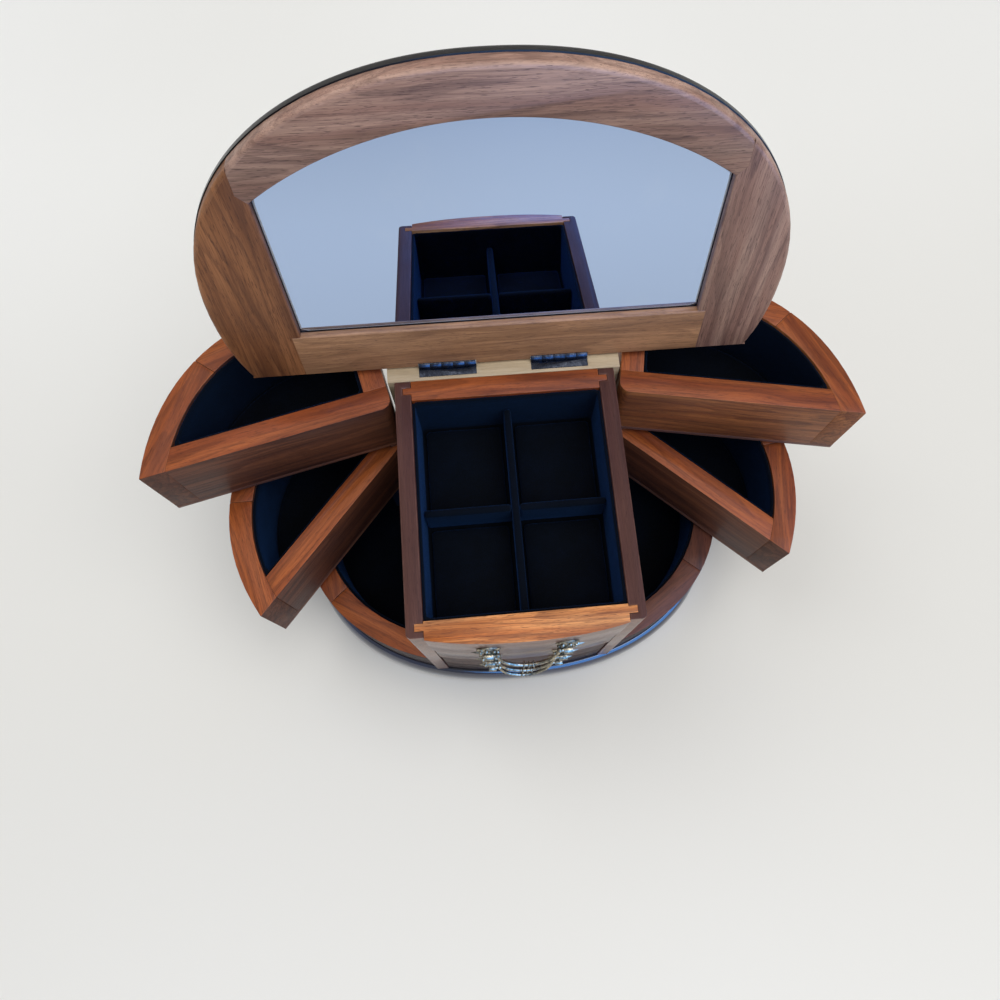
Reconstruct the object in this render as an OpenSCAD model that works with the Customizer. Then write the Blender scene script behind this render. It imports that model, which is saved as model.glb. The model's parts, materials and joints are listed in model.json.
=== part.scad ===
// Jewellery box with a half-oval plan: a mirror in the lid, a fixed centre column,
// four swing-out trays on two levels, two drawers and an open base level.
// It stands open. +Z is up, the front faces -Y, and the origin is at the middle of the underside.

/* [Body] */
// Overall width of the trays when closed
body_w = 266.8; // [240:1:340]
// Depth of the body, from the front of the column to the rear face
body_d = 147; // [125:1:180]
// Height of the column's rim above the surface
body_h = 160; // [150:1:200]
// How far the widest line of the plan lies in front of the rear face
widest_in = 39.6; // [30:1:60]
// Fullness of the half-oval plan, where 2 is an ellipse
plan_power = 2.28; // [2:0.02:2.8]
// Straight pieces in the whole outline
plan_steps = 96; // [64:8:144]

/* [Column] */
// Width over the two cheeks
column_w = 114; // [90:1:140]
// Thickness of each cheek
cheek_t = 8.4; // [6:0.2:12]
// How far the cheeks' front edges lie behind the middle of the front
column_set = 6; // [2:0.5:12]
// Depth of the back rail of the top compartment
back_rail_t = 11; // [6:0.5:16]
// Thickness of the fronts at their middle
front_t = 13.8; // [12:0.1:24]
// Height of the lowest of the three equal fronts above the surface
fronts_foot = 48; // [40:0.5:54]
// How far each front lies behind the one above it
front_step = 1; // [0:0.1:1.5]
// Height of the crossed dividers
divider_h = 20; // [10:1:24]
// Thickness of the crossed dividers
divider_t = 4; // [2:0.2:6]
// Thickness of the board behind the column
board_t = 8.5; // [6:0.5:12]
// How far the back board stands out past each cheek
board_out = 3.3; // [0:0.1:3.6]

/* [Swing trays] */
// Height of each tray
tray_h = 45.5; // [30:0.5:56]
// Free height between two levels
level_gap = 4.7; // [3:0.1:8]
// How far the upper trays' rims lie below the column's rim
rim_drop = 2.4; // [1.6:0.1:6]
// Thickness of the trays' walls
tray_wall = 12.1; // [8:0.1:14]
// Gap between a closed tray and the cheek
cheek_gap = 2.9; // [1.5:0.1:5]
// Distance from the pivot to the tray's inner and rear faces
pivot_in = 6.2; // [5:0.1:9]
// Gap between a closed tray's rear face and the column's back
tray_rear_gap = 1.4; // [0.5:0.1:4]
// Radius of the corner at the pivot
pivot_corner_r = 5.6; // [3:0.1:7]
// How far the upper left tray stands open
open_upper_left = 76.8; // [60:0.1:80]
// How far the upper right tray stands open
open_upper_right = 79.7; // [60:0.1:80]
// How far the lower left tray stands open
open_lower_left = 40.3; // [20:0.1:78]
// How far the lower right tray stands open
open_lower_right = 47.3; // [20:0.1:78]
// Angle of the joint in the curved walls, seen from the middle of the rear face
joint_angle = 40.7; // [30:0.1:55]
// Diameter of the pivot rods
rod_d = 4; // [3:0.5:6]
// Diameter of the collars round the rods between the levels
collar_d = 10; // [8:0.5:12]

/* [Base] */
// Height of the plinth board
plinth_h = 18; // [12:0.5:22]
// How far the plinth stands out past the body
plinth_out = 3.5; // [2:0.5:8]
// Thickness of the felt under the plinth
felt_t = 1; // [0.5:0.5:3]
// How far the felt's edge lies inside the body
felt_in = 5; // [2:1:20]
// Thickness of the base level's curved walls
base_wall = 13; // [9:0.5:16]
// How far the base walls lie inside the trays' outline
base_in = 1.5; // [0:0.5:4]

/* [Lid] */
// How far the lid reaches past the body at each side
lid_side_out = 1.1; // [0:0.1:4]
// How far the lid reaches past the body's front when it is closed
lid_front_out = 2; // [0:0.5:6]
// How far the lid's widest line lies from its straight edge
lid_widest = 38; // [30:1:60]
// Fullness of the lid's outline
lid_power = 2.17; // [2:0.01:2.8]
// Thickness of the inner frame
frame_t = 6.5; // [5:0.5:10]
// Thickness of the outer panel
panel_t = 6; // [4:0.5:10]
// Angle to which the lid opens
lid_open = 101.8; // [90:0.1:115]
// Gap under the closed lid
lid_gap = 0.4; // [0.3:0.1:1]
// Width of the frame's stiles at their widest
stile_w = 37.5; // [28:0.5:55]
// Distance from the lid's straight edge to the sight opening
sight_bottom = 26; // [20:1:40]
// How far the joints of the frame lie outside the sight opening
frame_joint_out = 4; // [1:0.5:8]
// Width of the frame's top rail at its middle
top_rail_w = 19.7; // [16:0.1:40]
// Rise of the sight opening's arched top
sight_rise = 29.2; // [20:1:36]
// How far the mirror reaches under the frame
mirror_lap = 4; // [2:0.5:6]
// Thickness of the mirror glass
mirror_t = 2.4; // [2:0.2:3]
// Thickness of the card behind the mirror
backing_t = 0.6; // [0.4:0.2:1]

/* [Hinges] */
// Length of each hinge
hinge_l = 29.5; // [20:0.5:36]
// Distance of each hinge's middle from the centre line
hinge_x = 29; // [20:0.5:38]
// Radius of the knuckles
knuckle_r = 2.2; // [1.8:0.1:2.6]
// Thickness of the leaves
leaf_t = 1; // [0.8:0.1:1.4]
// Width of the leaf let into the lid's edge
lid_leaf_w = 9; // [7:0.5:10]
// Knuckles on each hinge
knuckle_n = 5; // [3:2:7]

/* [Drawers] */
// Thickness of the drawers' sides, backs and the shelf under them
drawer_t = 5; // [4:0.5:7]
// Running clearance round each drawer
drawer_gap = 0.5; // [0.3:0.1:1]
// Height of the drawers' sides, as a share of the room they have
drawer_fill = 0.85; // [0.6:0.05:0.95]

/* [Handles] */
// Distance between the two posts of a handle
post_pitch = 39; // [30:1:60]
// Length of the bail below its pivots
bail_drop = 15; // [10:0.5:16]
// Angle at which the bail stands off the front
bail_lean = 16; // [4:1:30]
// Radius of the bail's bar
bail_r = 1.5; // [1:0.1:1.6]
// Distance from the front to the bail's pivots
post_reach = 3; // [3:0.5:7]
// Radius of the rosette behind each post
rosette_r = 6; // [4:0.5:8]
// Thickness of the rosette
rosette_t = 1.8; // [1:0.2:1.8]

/* [Linings] */
// Thickness of the velvet lining
lining_t = 1.4; // [1:0.2:3]
// How far the lining stops below a rim
lining_drop = 1.2; // [0.5:0.1:4]
// Thickness of the thin floor boards
floor_t = 3; // [2:0.5:5]

/* [Hidden] */

$fn = 48;
left = -1;
right = 1;

// small fits, and how far a cutting piece runs past what it cuts
joint_fit = 0.05;
lining_fit = 0.2;
running_fit = 0.06;
cut = 1;

// plan
half_w = body_w / 2;
rear_y = body_d / 2;
widest_y = rear_y - widest_in;
front_reach = body_d - widest_in;
beyond = body_w + body_d;

// levels
plinth_top = felt_t + plinth_h;
upper_top = body_h - rim_drop;
level_pitch = tray_h + level_gap;
upper_z = upper_top - tray_h;
lower_z = upper_z - level_pitch;
base_rim = lower_z - level_gap;

// column
column_half = column_w / 2;
bay_half = column_half - cheek_t;
column_back = rear_y - board_t;
column_front = column_set - rear_y;
column_d = column_back - column_front;
bay_front = front_t - rear_y;
bay_d = column_back - bay_front;
bay_back = column_back - back_rail_t;
front_h = (body_h - fronts_foot) / 3;
top_front_z = body_h - front_h;
top_depth = front_h - floor_t;
tongue_l = cheek_t / 2;
tongue_w = 3.5;
tongue_in = 1;
back_tongue_y = column_back - back_rail_t / 2;
front_tongue_y = bay_front - tongue_in - tongue_w / 2;
cheek_round = 2.5;

// drawers, whose fronts lie one step and two steps behind the top front
upper_drawer_z = top_front_z - front_h;
lower_drawer_z = upper_drawer_z - front_h;
upper_set = front_step;
lower_set = 2 * front_step;
drawer_half = bay_half - drawer_gap;
drawer_back_y = bay_back;
drawer_side_h = drawer_fill * (front_h - 2 * drawer_gap - floor_t);
floor_raise = 2;

// trays
pivot_x = column_half + cheek_gap + pivot_in;
tray_in_x = -(column_half + cheek_gap);
tray_rear_y = column_back - tray_rear_gap;
pivot_y = tray_rear_y - pivot_in;
rod_top_share = 0.75;
rod_top = upper_z + rod_top_share * tray_h;
rod_end_gap = 0.5;
collar_gap = 0.35;

// base
base_back_t = 10;
block_out = 20;
block_d = 16;
rod_foot_share = 0.38;
rod_foot_z = plinth_top + rod_foot_share * (base_rim - plinth_top);
plinth_ledge = base_in / 2;

// lid, drawn closed and then turned about the pin
pin_in = 0.3;
pin_rise = 0.8;
pin_y = rear_y - pin_in;
lid_z = body_h + lid_gap;
pin_z = lid_z + pin_rise;
panel_z = lid_z + frame_t;
lid_rear_y = pin_y;
lid_widest_y = lid_rear_y - lid_widest;
lid_front_reach = lid_widest_y + rear_y + lid_front_out;
lid_w = body_w + 2 * lid_side_out;
lid_d = lid_rear_y + rear_y + lid_front_out;
frame_in = 0.4;
panel_round = 3;
sight_half_w = lid_w / 2 - stile_w;
sight_side = lid_d - sight_bottom - sight_rise - top_rail_w;
sight_r = (pow(sight_half_w, 2) + pow(sight_rise, 2)) / (2 * sight_rise);
sight_centre_y = lid_rear_y - sight_bottom - sight_side - sight_rise + sight_r;
mirror_z = panel_z - backing_t - mirror_t;
mirror_fit = 0.4;
sight_steps = 180;

// hinges
pin_r = 0.9;
leaf_shoulder = 2;
base_leaf_w = board_t - pin_in - leaf_shoulder;
knuckle_l = hinge_l / knuckle_n;
knuckle_gap = 0.15;
recess_fit = 0.15;
screw_head_r = 1.5;
screw_shank_r = 0.8;
screw_l = 5;
screw_n = 3;
screw_edge = 0.5;
lid_screw_edge = 0.6;
screw_set = 0.2;

// handles
top_handle_z = body_h - front_h / 2;
upper_handle_z = top_handle_z - front_h;
lower_handle_z = upper_handle_z - front_h;
eye_r = 2.2;
eye_l = 4.4;
bail_pin_r = 1;
bail_pin_end = 0.4;
bail_shoulder = 2;
bail_half = post_pitch / 2 - eye_l / 2 - bail_shoulder;
bail_arc_r = (pow(bail_half, 2) + pow(bail_drop, 2)) / (2 * bail_drop);
bead_pitch = 8;
bead_l = 5;
bead_rise = 0.5;
rosette_show = 0.3;
rosette_y = plan_y(post_pitch / 2 + rosette_r) - rosette_show;
bail_y = plan_y(0) - post_reach;
stub_l = 4;
stem_r = 1.8;
stem_in = 1.6;
stem_l = rosette_y - bail_y - stem_in;

// profile of a rosette, as shares of its radius and its thickness
rim_share = 0.4;
ring_share = 0.75;
dip_r_share = 0.45;
dip_share = 0.8;
hub_share = 1.3;

// y of the body's outline at a distance x from the centre line
function plan_y(x) =
    widest_y - front_reach * pow(1 - pow(abs(x) / half_w, plan_power), 1 / plan_power);

// a number raised to a power, with its sign kept
function signed_pow(v, e) = sign(v) * pow(abs(v), e);

// points of a full oval with a given fullness
function oval(half_width, reach, centre_y, power) = [
    for (i = [0 : plan_steps - 1])
        let (a = 360 * (i + 0.5) / plan_steps)
            [half_width * signed_pow(cos(a), 2 / power),
             centre_y + reach * signed_pow(sin(a), 2 / power)]
];

// ---- shared outlines ----

// plan of the body, cut off at the rear face and drawn in by a distance
module body_plan(inset = 0, rear = rear_y) {
    intersection() {
        polygon(oval(half_w - inset, front_reach - inset, widest_y, plan_power));
        translate([-beyond / 2, rear - beyond])
            square([beyond, beyond]);
    }
}

// plan of the lid in its closed place
module lid_plan(inset = 0) {
    intersection() {
        polygon(oval(lid_w / 2 - inset, lid_front_reach - inset, lid_widest_y, lid_power));
        translate([-beyond / 2, lid_rear_y - beyond])
            square([beyond, beyond]);
    }
}

// everything to one side of a line x
module side_of(x, side) {
    translate([side > 0 ? x : x - beyond, -beyond / 2])
        square([beyond, beyond]);
}

// everything in front of a line y
module before(y) {
    translate([-beyond / 2, y - beyond])
        square([beyond, beyond]);
}

// everything behind a line y
module behind(y) {
    translate([-beyond / 2, y])
        square([beyond, beyond]);
}

// everything in front of the slanted joint of the left curved walls, or behind it
module joint_side(behind_it) {
    translate([0, rear_y])
        rotate(joint_angle)
            translate([-beyond, behind_it ? joint_fit : -beyond])
                square([2 * beyond, beyond]);
}

module both_sides() {
    for (side = [0, 1])
        mirror([side, 0, 0])
            children();
}

// ---- swing trays ----

// the corner that is rounded off at the pivot
module pivot_corner_cut() {
    difference() {
        translate([tray_in_x - pivot_corner_r, tray_rear_y - pivot_corner_r])
            square(pivot_corner_r + cut);
        translate([tray_in_x - pivot_corner_r, tray_rear_y - pivot_corner_r])
            circle(pivot_corner_r);
    }
}

// outline of a closed left tray
module tray_plan() {
    difference() {
        intersection() {
            body_plan();
            side_of(tray_in_x, left);
            before(tray_rear_y);
        }
        pivot_corner_cut();
    }
}

// the hollow of a closed left tray, drawn in by a distance
module tray_hollow(inset = 0) {
    intersection() {
        body_plan(tray_wall + inset);
        side_of(tray_in_x - tray_wall - inset, left);
        before(tray_rear_y - tray_wall - inset);
    }
}

// a tray's piece in its place, opened by an angle about its rod
module swung(side, angle) {
    mirror([side > 0 ? 1 : 0, 0, 0])
        translate([-pivot_x, pivot_y, 0])
            rotate([0, 0, -angle])
                translate([pivot_x, -pivot_y, 0])
                    children();
}

module rod_bore(z, h) {
    translate([-pivot_x, pivot_y, z])
        cylinder(h = h, r = rod_d / 2 + running_fit);
}

// straight wall beside the column, which holds the pivot
module tray_inner_wall(z) {
    difference() {
        translate([0, 0, z + floor_t])
            linear_extrude(tray_h - floor_t)
                difference() {
                    intersection() {
                        body_plan(tray_wall);
                        side_of(tray_in_x, left);
                        side_of(tray_in_x - tray_wall, right);
                        before(tray_rear_y);
                    }
                    pivot_corner_cut();
                }
        rod_bore(z - cut, z == upper_z ? rod_top + cut - z : tray_h + 2 * cut);
    }
}

// curved outer wall in two pieces, which meet at the slanted joint
module tray_outer_wall(z) {
    translate([0, 0, z + floor_t])
        linear_extrude(tray_h - floor_t)
            for (behind_it = [false, true])
                intersection() {
                    difference() {
                        body_plan();
                        body_plan(tray_wall, rear = rear_y + cut);
                    }
                    side_of(tray_in_x, left);
                    before(tray_rear_y);
                    joint_side(behind_it);
                }
}

module tray_back_wall(z) {
    translate([0, 0, z + floor_t])
        linear_extrude(tray_h - floor_t)
            intersection() {
                body_plan(tray_wall);
                side_of(tray_in_x - tray_wall, left);
                before(tray_rear_y);
                behind(tray_rear_y - tray_wall);
            }
}

module tray_floor(z) {
    difference() {
        translate([0, 0, z])
            linear_extrude(floor_t)
                tray_plan();
        rod_bore(z - cut, floor_t + 2 * cut);
    }
}

// velvet on the floor and up the walls
module tray_lining(z) {
    translate([0, 0, z + floor_t + lining_fit]) {
        linear_extrude(lining_t)
            tray_hollow(lining_fit);
        linear_extrude(tray_h - floor_t - lining_fit - lining_drop)
            difference() {
                tray_hollow(lining_fit);
                tray_hollow(lining_fit + lining_t);
            }
    }
}

module tray_piece(side, angle, z, piece) {
    swung(side, angle) {
        if (piece == "inner_wall")
            color([0.36, 0.19, 0.11]) tray_inner_wall(z);
        if (piece == "outer_wall")
            color([0.52, 0.26, 0.14]) tray_outer_wall(z);
        if (piece == "back_wall")
            color([0.48, 0.24, 0.13]) tray_back_wall(z);
        if (piece == "floor")
            color([0.30, 0.16, 0.10]) tray_floor(z);
        if (piece == "lining")
            color([0.03, 0.05, 0.12]) tray_lining(z);
    }
}

module upper_left(piece) { tray_piece(left, open_upper_left, upper_z, piece); }
module upper_right(piece) { tray_piece(right, open_upper_right, upper_z, piece); }
module lower_left(piece) { tray_piece(left, open_lower_left, lower_z, piece); }
module lower_right(piece) { tray_piece(right, open_lower_right, lower_z, piece); }

// fixed rods that both trays of a side turn on
module pivot_rods() {
    color([0.55, 0.55, 0.57])
        both_sides()
            translate([-pivot_x, pivot_y, rod_foot_z])
                cylinder(h = rod_top - rod_end_gap - rod_foot_z, r = rod_d / 2);
}

// collars round the rods, which carry the trays at their levels
module rod_collars() {
    color([0.55, 0.55, 0.57])
        both_sides()
            for (z = [base_rim, lower_z + tray_h + collar_gap])
                translate([-pivot_x, pivot_y, z])
                    difference() {
                        cylinder(h = z == base_rim ? level_gap - collar_gap
                                                   : level_gap - 2 * collar_gap, r = collar_d / 2);
                        translate([0, 0, -cut])
                            cylinder(h = level_gap + 2 * cut, r = rod_d / 2);
                    }
}

// ---- base level ----

module felt_pad() {
    color([0.05, 0.06, 0.10])
        linear_extrude(felt_t)
            body_plan(felt_in, rear_y - felt_in);
}

// solid board with a rounded top edge, in thin steps
module plinth() {
    steps = 5;
    color([0.05, 0.05, 0.06])
        translate([0, 0, felt_t]) {
            linear_extrude(plinth_h - plinth_out)
                body_plan(-plinth_out);
            for (i = [0 : steps - 1])
                translate([0, 0, plinth_h - plinth_out + i * plinth_out / steps])
                    linear_extrude(plinth_out / steps)
                        body_plan(plinth_ledge - plinth_out * sqrt(1 - pow((i + 0.5) / steps, 2)));
        }
}

// one side's curved walls, left side, joined in two pieces
module base_walls_of_side() {
    translate([0, 0, plinth_top])
        linear_extrude(base_rim - plinth_top)
            for (behind_it = [false, true])
                intersection() {
                    difference() {
                        body_plan(base_in);
                        body_plan(base_in + base_wall, rear = rear_y + cut);
                    }
                    side_of(-column_half - joint_fit, left);
                    joint_side(behind_it);
                }
}

module base_wall_left() {
    color([0.45, 0.22, 0.12])
        base_walls_of_side();
}

module base_wall_right() {
    color([0.45, 0.22, 0.12])
        mirror([1, 0, 0])
            base_walls_of_side();
}

module base_back_walls() {
    color([0.40, 0.20, 0.12])
        both_sides()
            translate([0, 0, plinth_top])
                linear_extrude(base_rim - plinth_top)
                    intersection() {
                        body_plan(base_in + base_wall);
                        side_of(-column_half - board_out - joint_fit, left);
                        behind(rear_y - base_back_t);
                    }
}

module block_plan(grow = 0) {
    translate([-column_half - block_out - grow, rear_y - base_back_t - block_d - grow])
        square([block_out - joint_fit + 2 * grow, block_d - joint_fit + 2 * grow]);
}

// blocks beside the cheeks that the rods stand in
module pivot_blocks() {
    color([0.42, 0.22, 0.13])
        both_sides()
            difference() {
                translate([0, 0, plinth_top])
                    linear_extrude(base_rim - plinth_top)
                        block_plan();
                translate([-pivot_x, pivot_y, rod_foot_z])
                    cylinder(h = base_rim - rod_foot_z + cut, r = rod_d / 2);
            }
}

module base_front() {
    color([0.34, 0.19, 0.13])
        translate([0, 0, plinth_top])
            linear_extrude(fronts_foot - plinth_top)
                front_plan(bay_half - joint_fit, lower_set);
}

// hollow of the base level beside the column, left side
module base_hollow(inset = 0) {
    difference() {
        intersection() {
            body_plan(base_in + base_wall + inset);
            side_of(-column_half - inset, left);
            before(rear_y - base_back_t - inset);
        }
        block_plan(inset);
    }
}

module base_lining() {
    color([0.03, 0.05, 0.12])
        both_sides()
            translate([0, 0, plinth_top + lining_fit]) {
                linear_extrude(lining_t)
                    base_hollow(lining_fit);
                linear_extrude(base_rim - plinth_top - lining_fit - lining_drop)
                    difference() {
                        base_hollow(lining_fit);
                        base_hollow(lining_fit + lining_t);
                    }
            }
}

// ---- column ----

// bar through a rail, whose ends are the tongues let into the cheeks
module tongues(y, grow = 0) {
    translate([-bay_half - tongue_l - grow, y - tongue_w / 2 - grow])
        square([2 * (bay_half + tongue_l + grow), tongue_w + 2 * grow]);
}

module cheek() {
    difference() {
        translate([0, 0, plinth_top])
            linear_extrude(body_h - plinth_top)
                difference() {
                    translate([-column_half, column_front])
                        square([cheek_t, column_d]);
                    difference() {
                        translate([-column_half - cut, column_front - cut])
                            square(cheek_round + cut);
                        translate([-column_half + cheek_round, column_front + cheek_round])
                            circle(cheek_round);
                    }
                }
        translate([0, 0, top_front_z - joint_fit])
            linear_extrude(front_h + cut) {
                tongues(front_tongue_y, joint_fit);
                tongues(back_tongue_y, joint_fit);
            }
    }
}

module cheeks() {
    color([0.36, 0.23, 0.20])
        both_sides()
            cheek();
}

// board behind the column, with the hinges let into its top edge
module back_board() {
    color([0.74, 0.66, 0.54])
        difference() {
            translate([-column_half - board_out, column_back + joint_fit, plinth_top])
                cube([column_w + 2 * board_out, board_t - joint_fit, body_h - plinth_top]);
            at_hinges() {
                translate([-hinge_l / 2 - recess_fit, pin_y - base_leaf_w - recess_fit, body_h - leaf_t])
                    cube([hinge_l + 2 * recess_fit, base_leaf_w + board_t, leaf_t + cut]);
                translate([-hinge_l / 2 - recess_fit, pin_y, pin_z])
                    rotate([0, 90, 0])
                        cylinder(h = hinge_l + 2 * recess_fit, r = knuckle_r + recess_fit);
            }
            base_screws(screw_shank_r, screw_l + cut);
        }
}

// fixed front of the top compartment, with its tongues and the seats of the rosettes
module top_front() {
    color([0.58, 0.30, 0.16])
        difference() {
            translate([0, 0, top_front_z])
                linear_extrude(front_h) {
                    front_plan(bay_half - joint_fit);
                    tongues(front_tongue_y);
                }
            rosette_seats(top_handle_z, 0);
        }
}

// plan of a front between the cheeks, set back by a distance, with a straight inner face
module front_plan(half, set = 0) {
    intersection() {
        body_plan(set);
        side_of(-half, right);
        side_of(half, left);
        before(bay_front);
    }
}

module rosette_seats(z, set) {
    both_sides()
        translate([post_pitch / 2, rosette_y + set, z])
            rotate([90, 0, 0])
                cylinder(h = front_reach, r = rosette_r + joint_fit);
    both_sides()
        translate([post_pitch / 2, rosette_y + set + stub_l, z])
            rotate([90, 0, 0])
                cylinder(h = front_reach, r = screw_shank_r + joint_fit);
}

module back_rail() {
    color([0.58, 0.30, 0.16])
        translate([0, 0, top_front_z])
            linear_extrude(front_h) {
                translate([-bay_half + joint_fit, bay_back])
                    square([2 * (bay_half - joint_fit), back_rail_t]);
                tongues(back_tongue_y);
            }
}

module bay_plan(inset = 0) {
    translate([-bay_half + inset, bay_front + inset])
        square([2 * (bay_half - inset), bay_back - bay_front - 2 * inset]);
}

module shelf_plan(front_gap) {
    translate([-bay_half + joint_fit, bay_front + front_gap])
        square([2 * (bay_half - joint_fit), bay_d - front_gap]);
}

// floor of the top compartment, and the two boards that the drawers run on
module column_boards() {
    color([0.45, 0.30, 0.20]) {
        translate([0, 0, top_front_z])
            linear_extrude(floor_t)
                bay_plan(joint_fit);
        translate([0, 0, upper_drawer_z - floor_t])
            linear_extrude(floor_t)
                shelf_plan(drawer_gap);
        translate([0, 0, fronts_foot - drawer_t])
            linear_extrude(drawer_t)
                shelf_plan(0);
    }
}

module top_lining() {
    color([0.03, 0.05, 0.12])
        translate([0, 0, top_front_z + floor_t + lining_fit]) {
            linear_extrude(lining_t)
                bay_plan(lining_fit);
            linear_extrude(top_depth - lining_fit - lining_drop)
                difference() {
                    bay_plan(lining_fit);
                    bay_plan(lining_fit + lining_t);
                }
        }
}

// two padded strips crossed with a half lap
module dividers() {
    z = top_front_z + floor_t + 2 * lining_fit + lining_t;
    long = bay_back - bay_front - 2 * (2 * lining_fit + lining_t);
    wide = 2 * (bay_half - 2 * lining_fit - lining_t);
    mid_y = (bay_back + bay_front) / 2;
    color([0.04, 0.06, 0.14]) {
        difference() {
            translate([-divider_t / 2, mid_y - long / 2, z])
                cube([divider_t, long, divider_h]);
            translate([-divider_t, mid_y - divider_t / 2 - joint_fit, z - cut])
                cube([2 * divider_t, divider_t + 2 * joint_fit, divider_h / 2 + cut]);
        }
        difference() {
            translate([-wide / 2, mid_y - divider_t / 2, z])
                cube([wide, divider_t, divider_h]);
            translate([-divider_t / 2 - joint_fit, mid_y - divider_t, z + divider_h / 2 - joint_fit])
                cube([divider_t + 2 * joint_fit, 2 * divider_t, divider_h]);
        }
    }
}

// ---- drawers ----

module drawer_front(z, set, handle_z) {
    difference() {
        translate([0, 0, z + drawer_gap])
            linear_extrude(front_h - 2 * drawer_gap)
                front_plan(drawer_half, set);
        rosette_seats(handle_z, set);
    }
}

module drawer_plan(inset = 0) {
    translate([-drawer_half + drawer_t + inset, bay_front + inset])
        square([2 * (drawer_half - drawer_t - inset), drawer_back_y - drawer_t - bay_front - 2 * inset]);
}

// sides, back and floor of a drawer
module drawer_box(z) {
    translate([0, 0, z + drawer_gap]) {
        both_sides()
            translate([-drawer_half, bay_front, 0])
                cube([drawer_t, drawer_back_y - bay_front, drawer_side_h]);
        translate([-drawer_half + drawer_t + joint_fit, drawer_back_y - drawer_t, 0])
            cube([2 * (drawer_half - drawer_t - joint_fit), drawer_t, drawer_side_h]);
        translate([0, 0, floor_raise])
            linear_extrude(floor_t)
                drawer_plan(joint_fit);
    }
}

module drawer_lining(z) {
    translate([0, 0, z + drawer_gap + floor_raise + floor_t + lining_fit]) {
        linear_extrude(lining_t)
            drawer_plan(lining_fit);
        linear_extrude(drawer_side_h - floor_raise - floor_t - lining_fit - lining_drop)
            difference() {
                drawer_plan(lining_fit);
                drawer_plan(lining_fit + lining_t);
            }
    }
}

module drawer_piece(z, set, handle_z, piece) {
    if (piece == "front")
        color([0.34, 0.19, 0.13]) drawer_front(z, set, handle_z);
    if (piece == "box")
        color([0.45, 0.30, 0.20]) drawer_box(z);
    if (piece == "lining")
        color([0.03, 0.05, 0.12]) drawer_lining(z);
}

module upper_drawer(piece) { drawer_piece(upper_drawer_z, upper_set, upper_handle_z, piece); }
module lower_drawer(piece) { drawer_piece(lower_drawer_z, lower_set, lower_handle_z, piece); }

// ---- handles ----

// a rosette with its screw stub, stem and eye; the eye's bore runs along X
module post() {
    translate([0, rosette_y, 0])
        rotate([90, 0, 0])
            rotate_extrude()
                polygon([
                    [0, -stub_l], [screw_shank_r, -stub_l], [screw_shank_r, 0], [rosette_r, 0],
                    [rosette_r, rosette_t * rim_share], [rosette_r * ring_share, rosette_t],
                    [rosette_r * dip_r_share, rosette_t * dip_share], [stem_r, rosette_t * hub_share],
                    [stem_r, stem_l], [0, stem_l]
                ]);
    translate([-eye_l / 2, bail_y, 0])
        rotate([0, 90, 0])
            cylinder(h = eye_l, r = eye_r);
}

module posts(z, set) {
    color([0.50, 0.44, 0.30])
        translate([0, set, z])
            both_sides()
                difference() {
                    translate([post_pitch / 2, 0, 0])
                        post();
                    translate([post_pitch / 2 - eye_l, bail_y, 0])
                        rotate([0, 90, 0])
                            cylinder(h = 2 * eye_l, r = bail_pin_r + running_fit);
                }
}

// arc of the bail's bar with three beads at its lowest place
module bail_bow() {
    sweep = asin(bail_half / bail_arc_r);
    half_sweep = bail_drop > bail_arc_r ? 180 - sweep : sweep;
    rotate([0, 0, -90 - half_sweep])
        rotate_extrude(angle = 2 * half_sweep)
            translate([bail_arc_r, 0])
                circle(bail_r);
    for (k = [-1 : 1])
        rotate([0, 0, -90 + bead_pitch * k - bead_l / 2])
            rotate_extrude(angle = bead_l)
                translate([bail_arc_r, 0])
                    circle(bail_r + bead_rise);
}

// hanging bow with a pin at each end, which stands off the front
module bail(z, set) {
    color([0.55, 0.50, 0.36])
        translate([0, bail_y + set, z])
            rotate([-bail_lean, 0, 0]) {
                translate([0, 0, bail_arc_r - bail_drop])
                    rotate([90, 0, 0])
                        bail_bow();
                both_sides() {
                    translate([bail_half, 0, 0])
                        sphere(bail_r);
                    translate([bail_half, 0, 0])
                        rotate([0, 90, 0])
                            cylinder(h = post_pitch / 2 + eye_l / 2 - bail_pin_end - bail_half, r = bail_pin_r);
                }
            }
}

// ---- lid ----

// a lid piece, drawn closed, turned open about the pin
module opened() {
    translate([0, pin_y, pin_z])
        rotate([-lid_open, 0, 0])
            translate([0, -pin_y, -pin_z])
                children();
}

// sight opening of the frame, made larger by a distance
module sight(grow = 0) {
    intersection() {
        translate([-sight_half_w - grow, -body_d])
            square([2 * (sight_half_w + grow), body_d + lid_rear_y - sight_bottom + grow]);
        translate([0, sight_centre_y])
            circle(sight_r + grow, $fn = sight_steps);
    }
}

// part of the lid that the arched top rail takes
module top_rail_region() {
    x = sight_half_w + frame_joint_out;
    y = lid_rear_y - sight_bottom - sight_side;
    polygon([
        [-sight_half_w, y], [-x, y - frame_joint_out], [-x, -beyond],
        [x, -beyond], [x, y - frame_joint_out], [sight_half_w, y]
    ]);
}

module frame_solid() {
    opened()
        difference() {
            translate([0, 0, lid_z])
                linear_extrude(frame_t)
                    difference() {
                        intersection() {
                            lid_plan(frame_in);
                            children();
                        }
                        sight();
                    }
            translate([0, 0, mirror_z - joint_fit])
                linear_extrude(frame_t)
                    sight(mirror_lap + mirror_fit);
            hinge_notches();
        }
}

module lid_top_rail() {
    color([0.45, 0.27, 0.20])
        frame_solid()
            top_rail_region();
}

module bottom_rail_region() {
    x = sight_half_w + frame_joint_out;
    translate([-x, lid_rear_y - sight_bottom])
        square([2 * x, sight_bottom + cut]);
}

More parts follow.
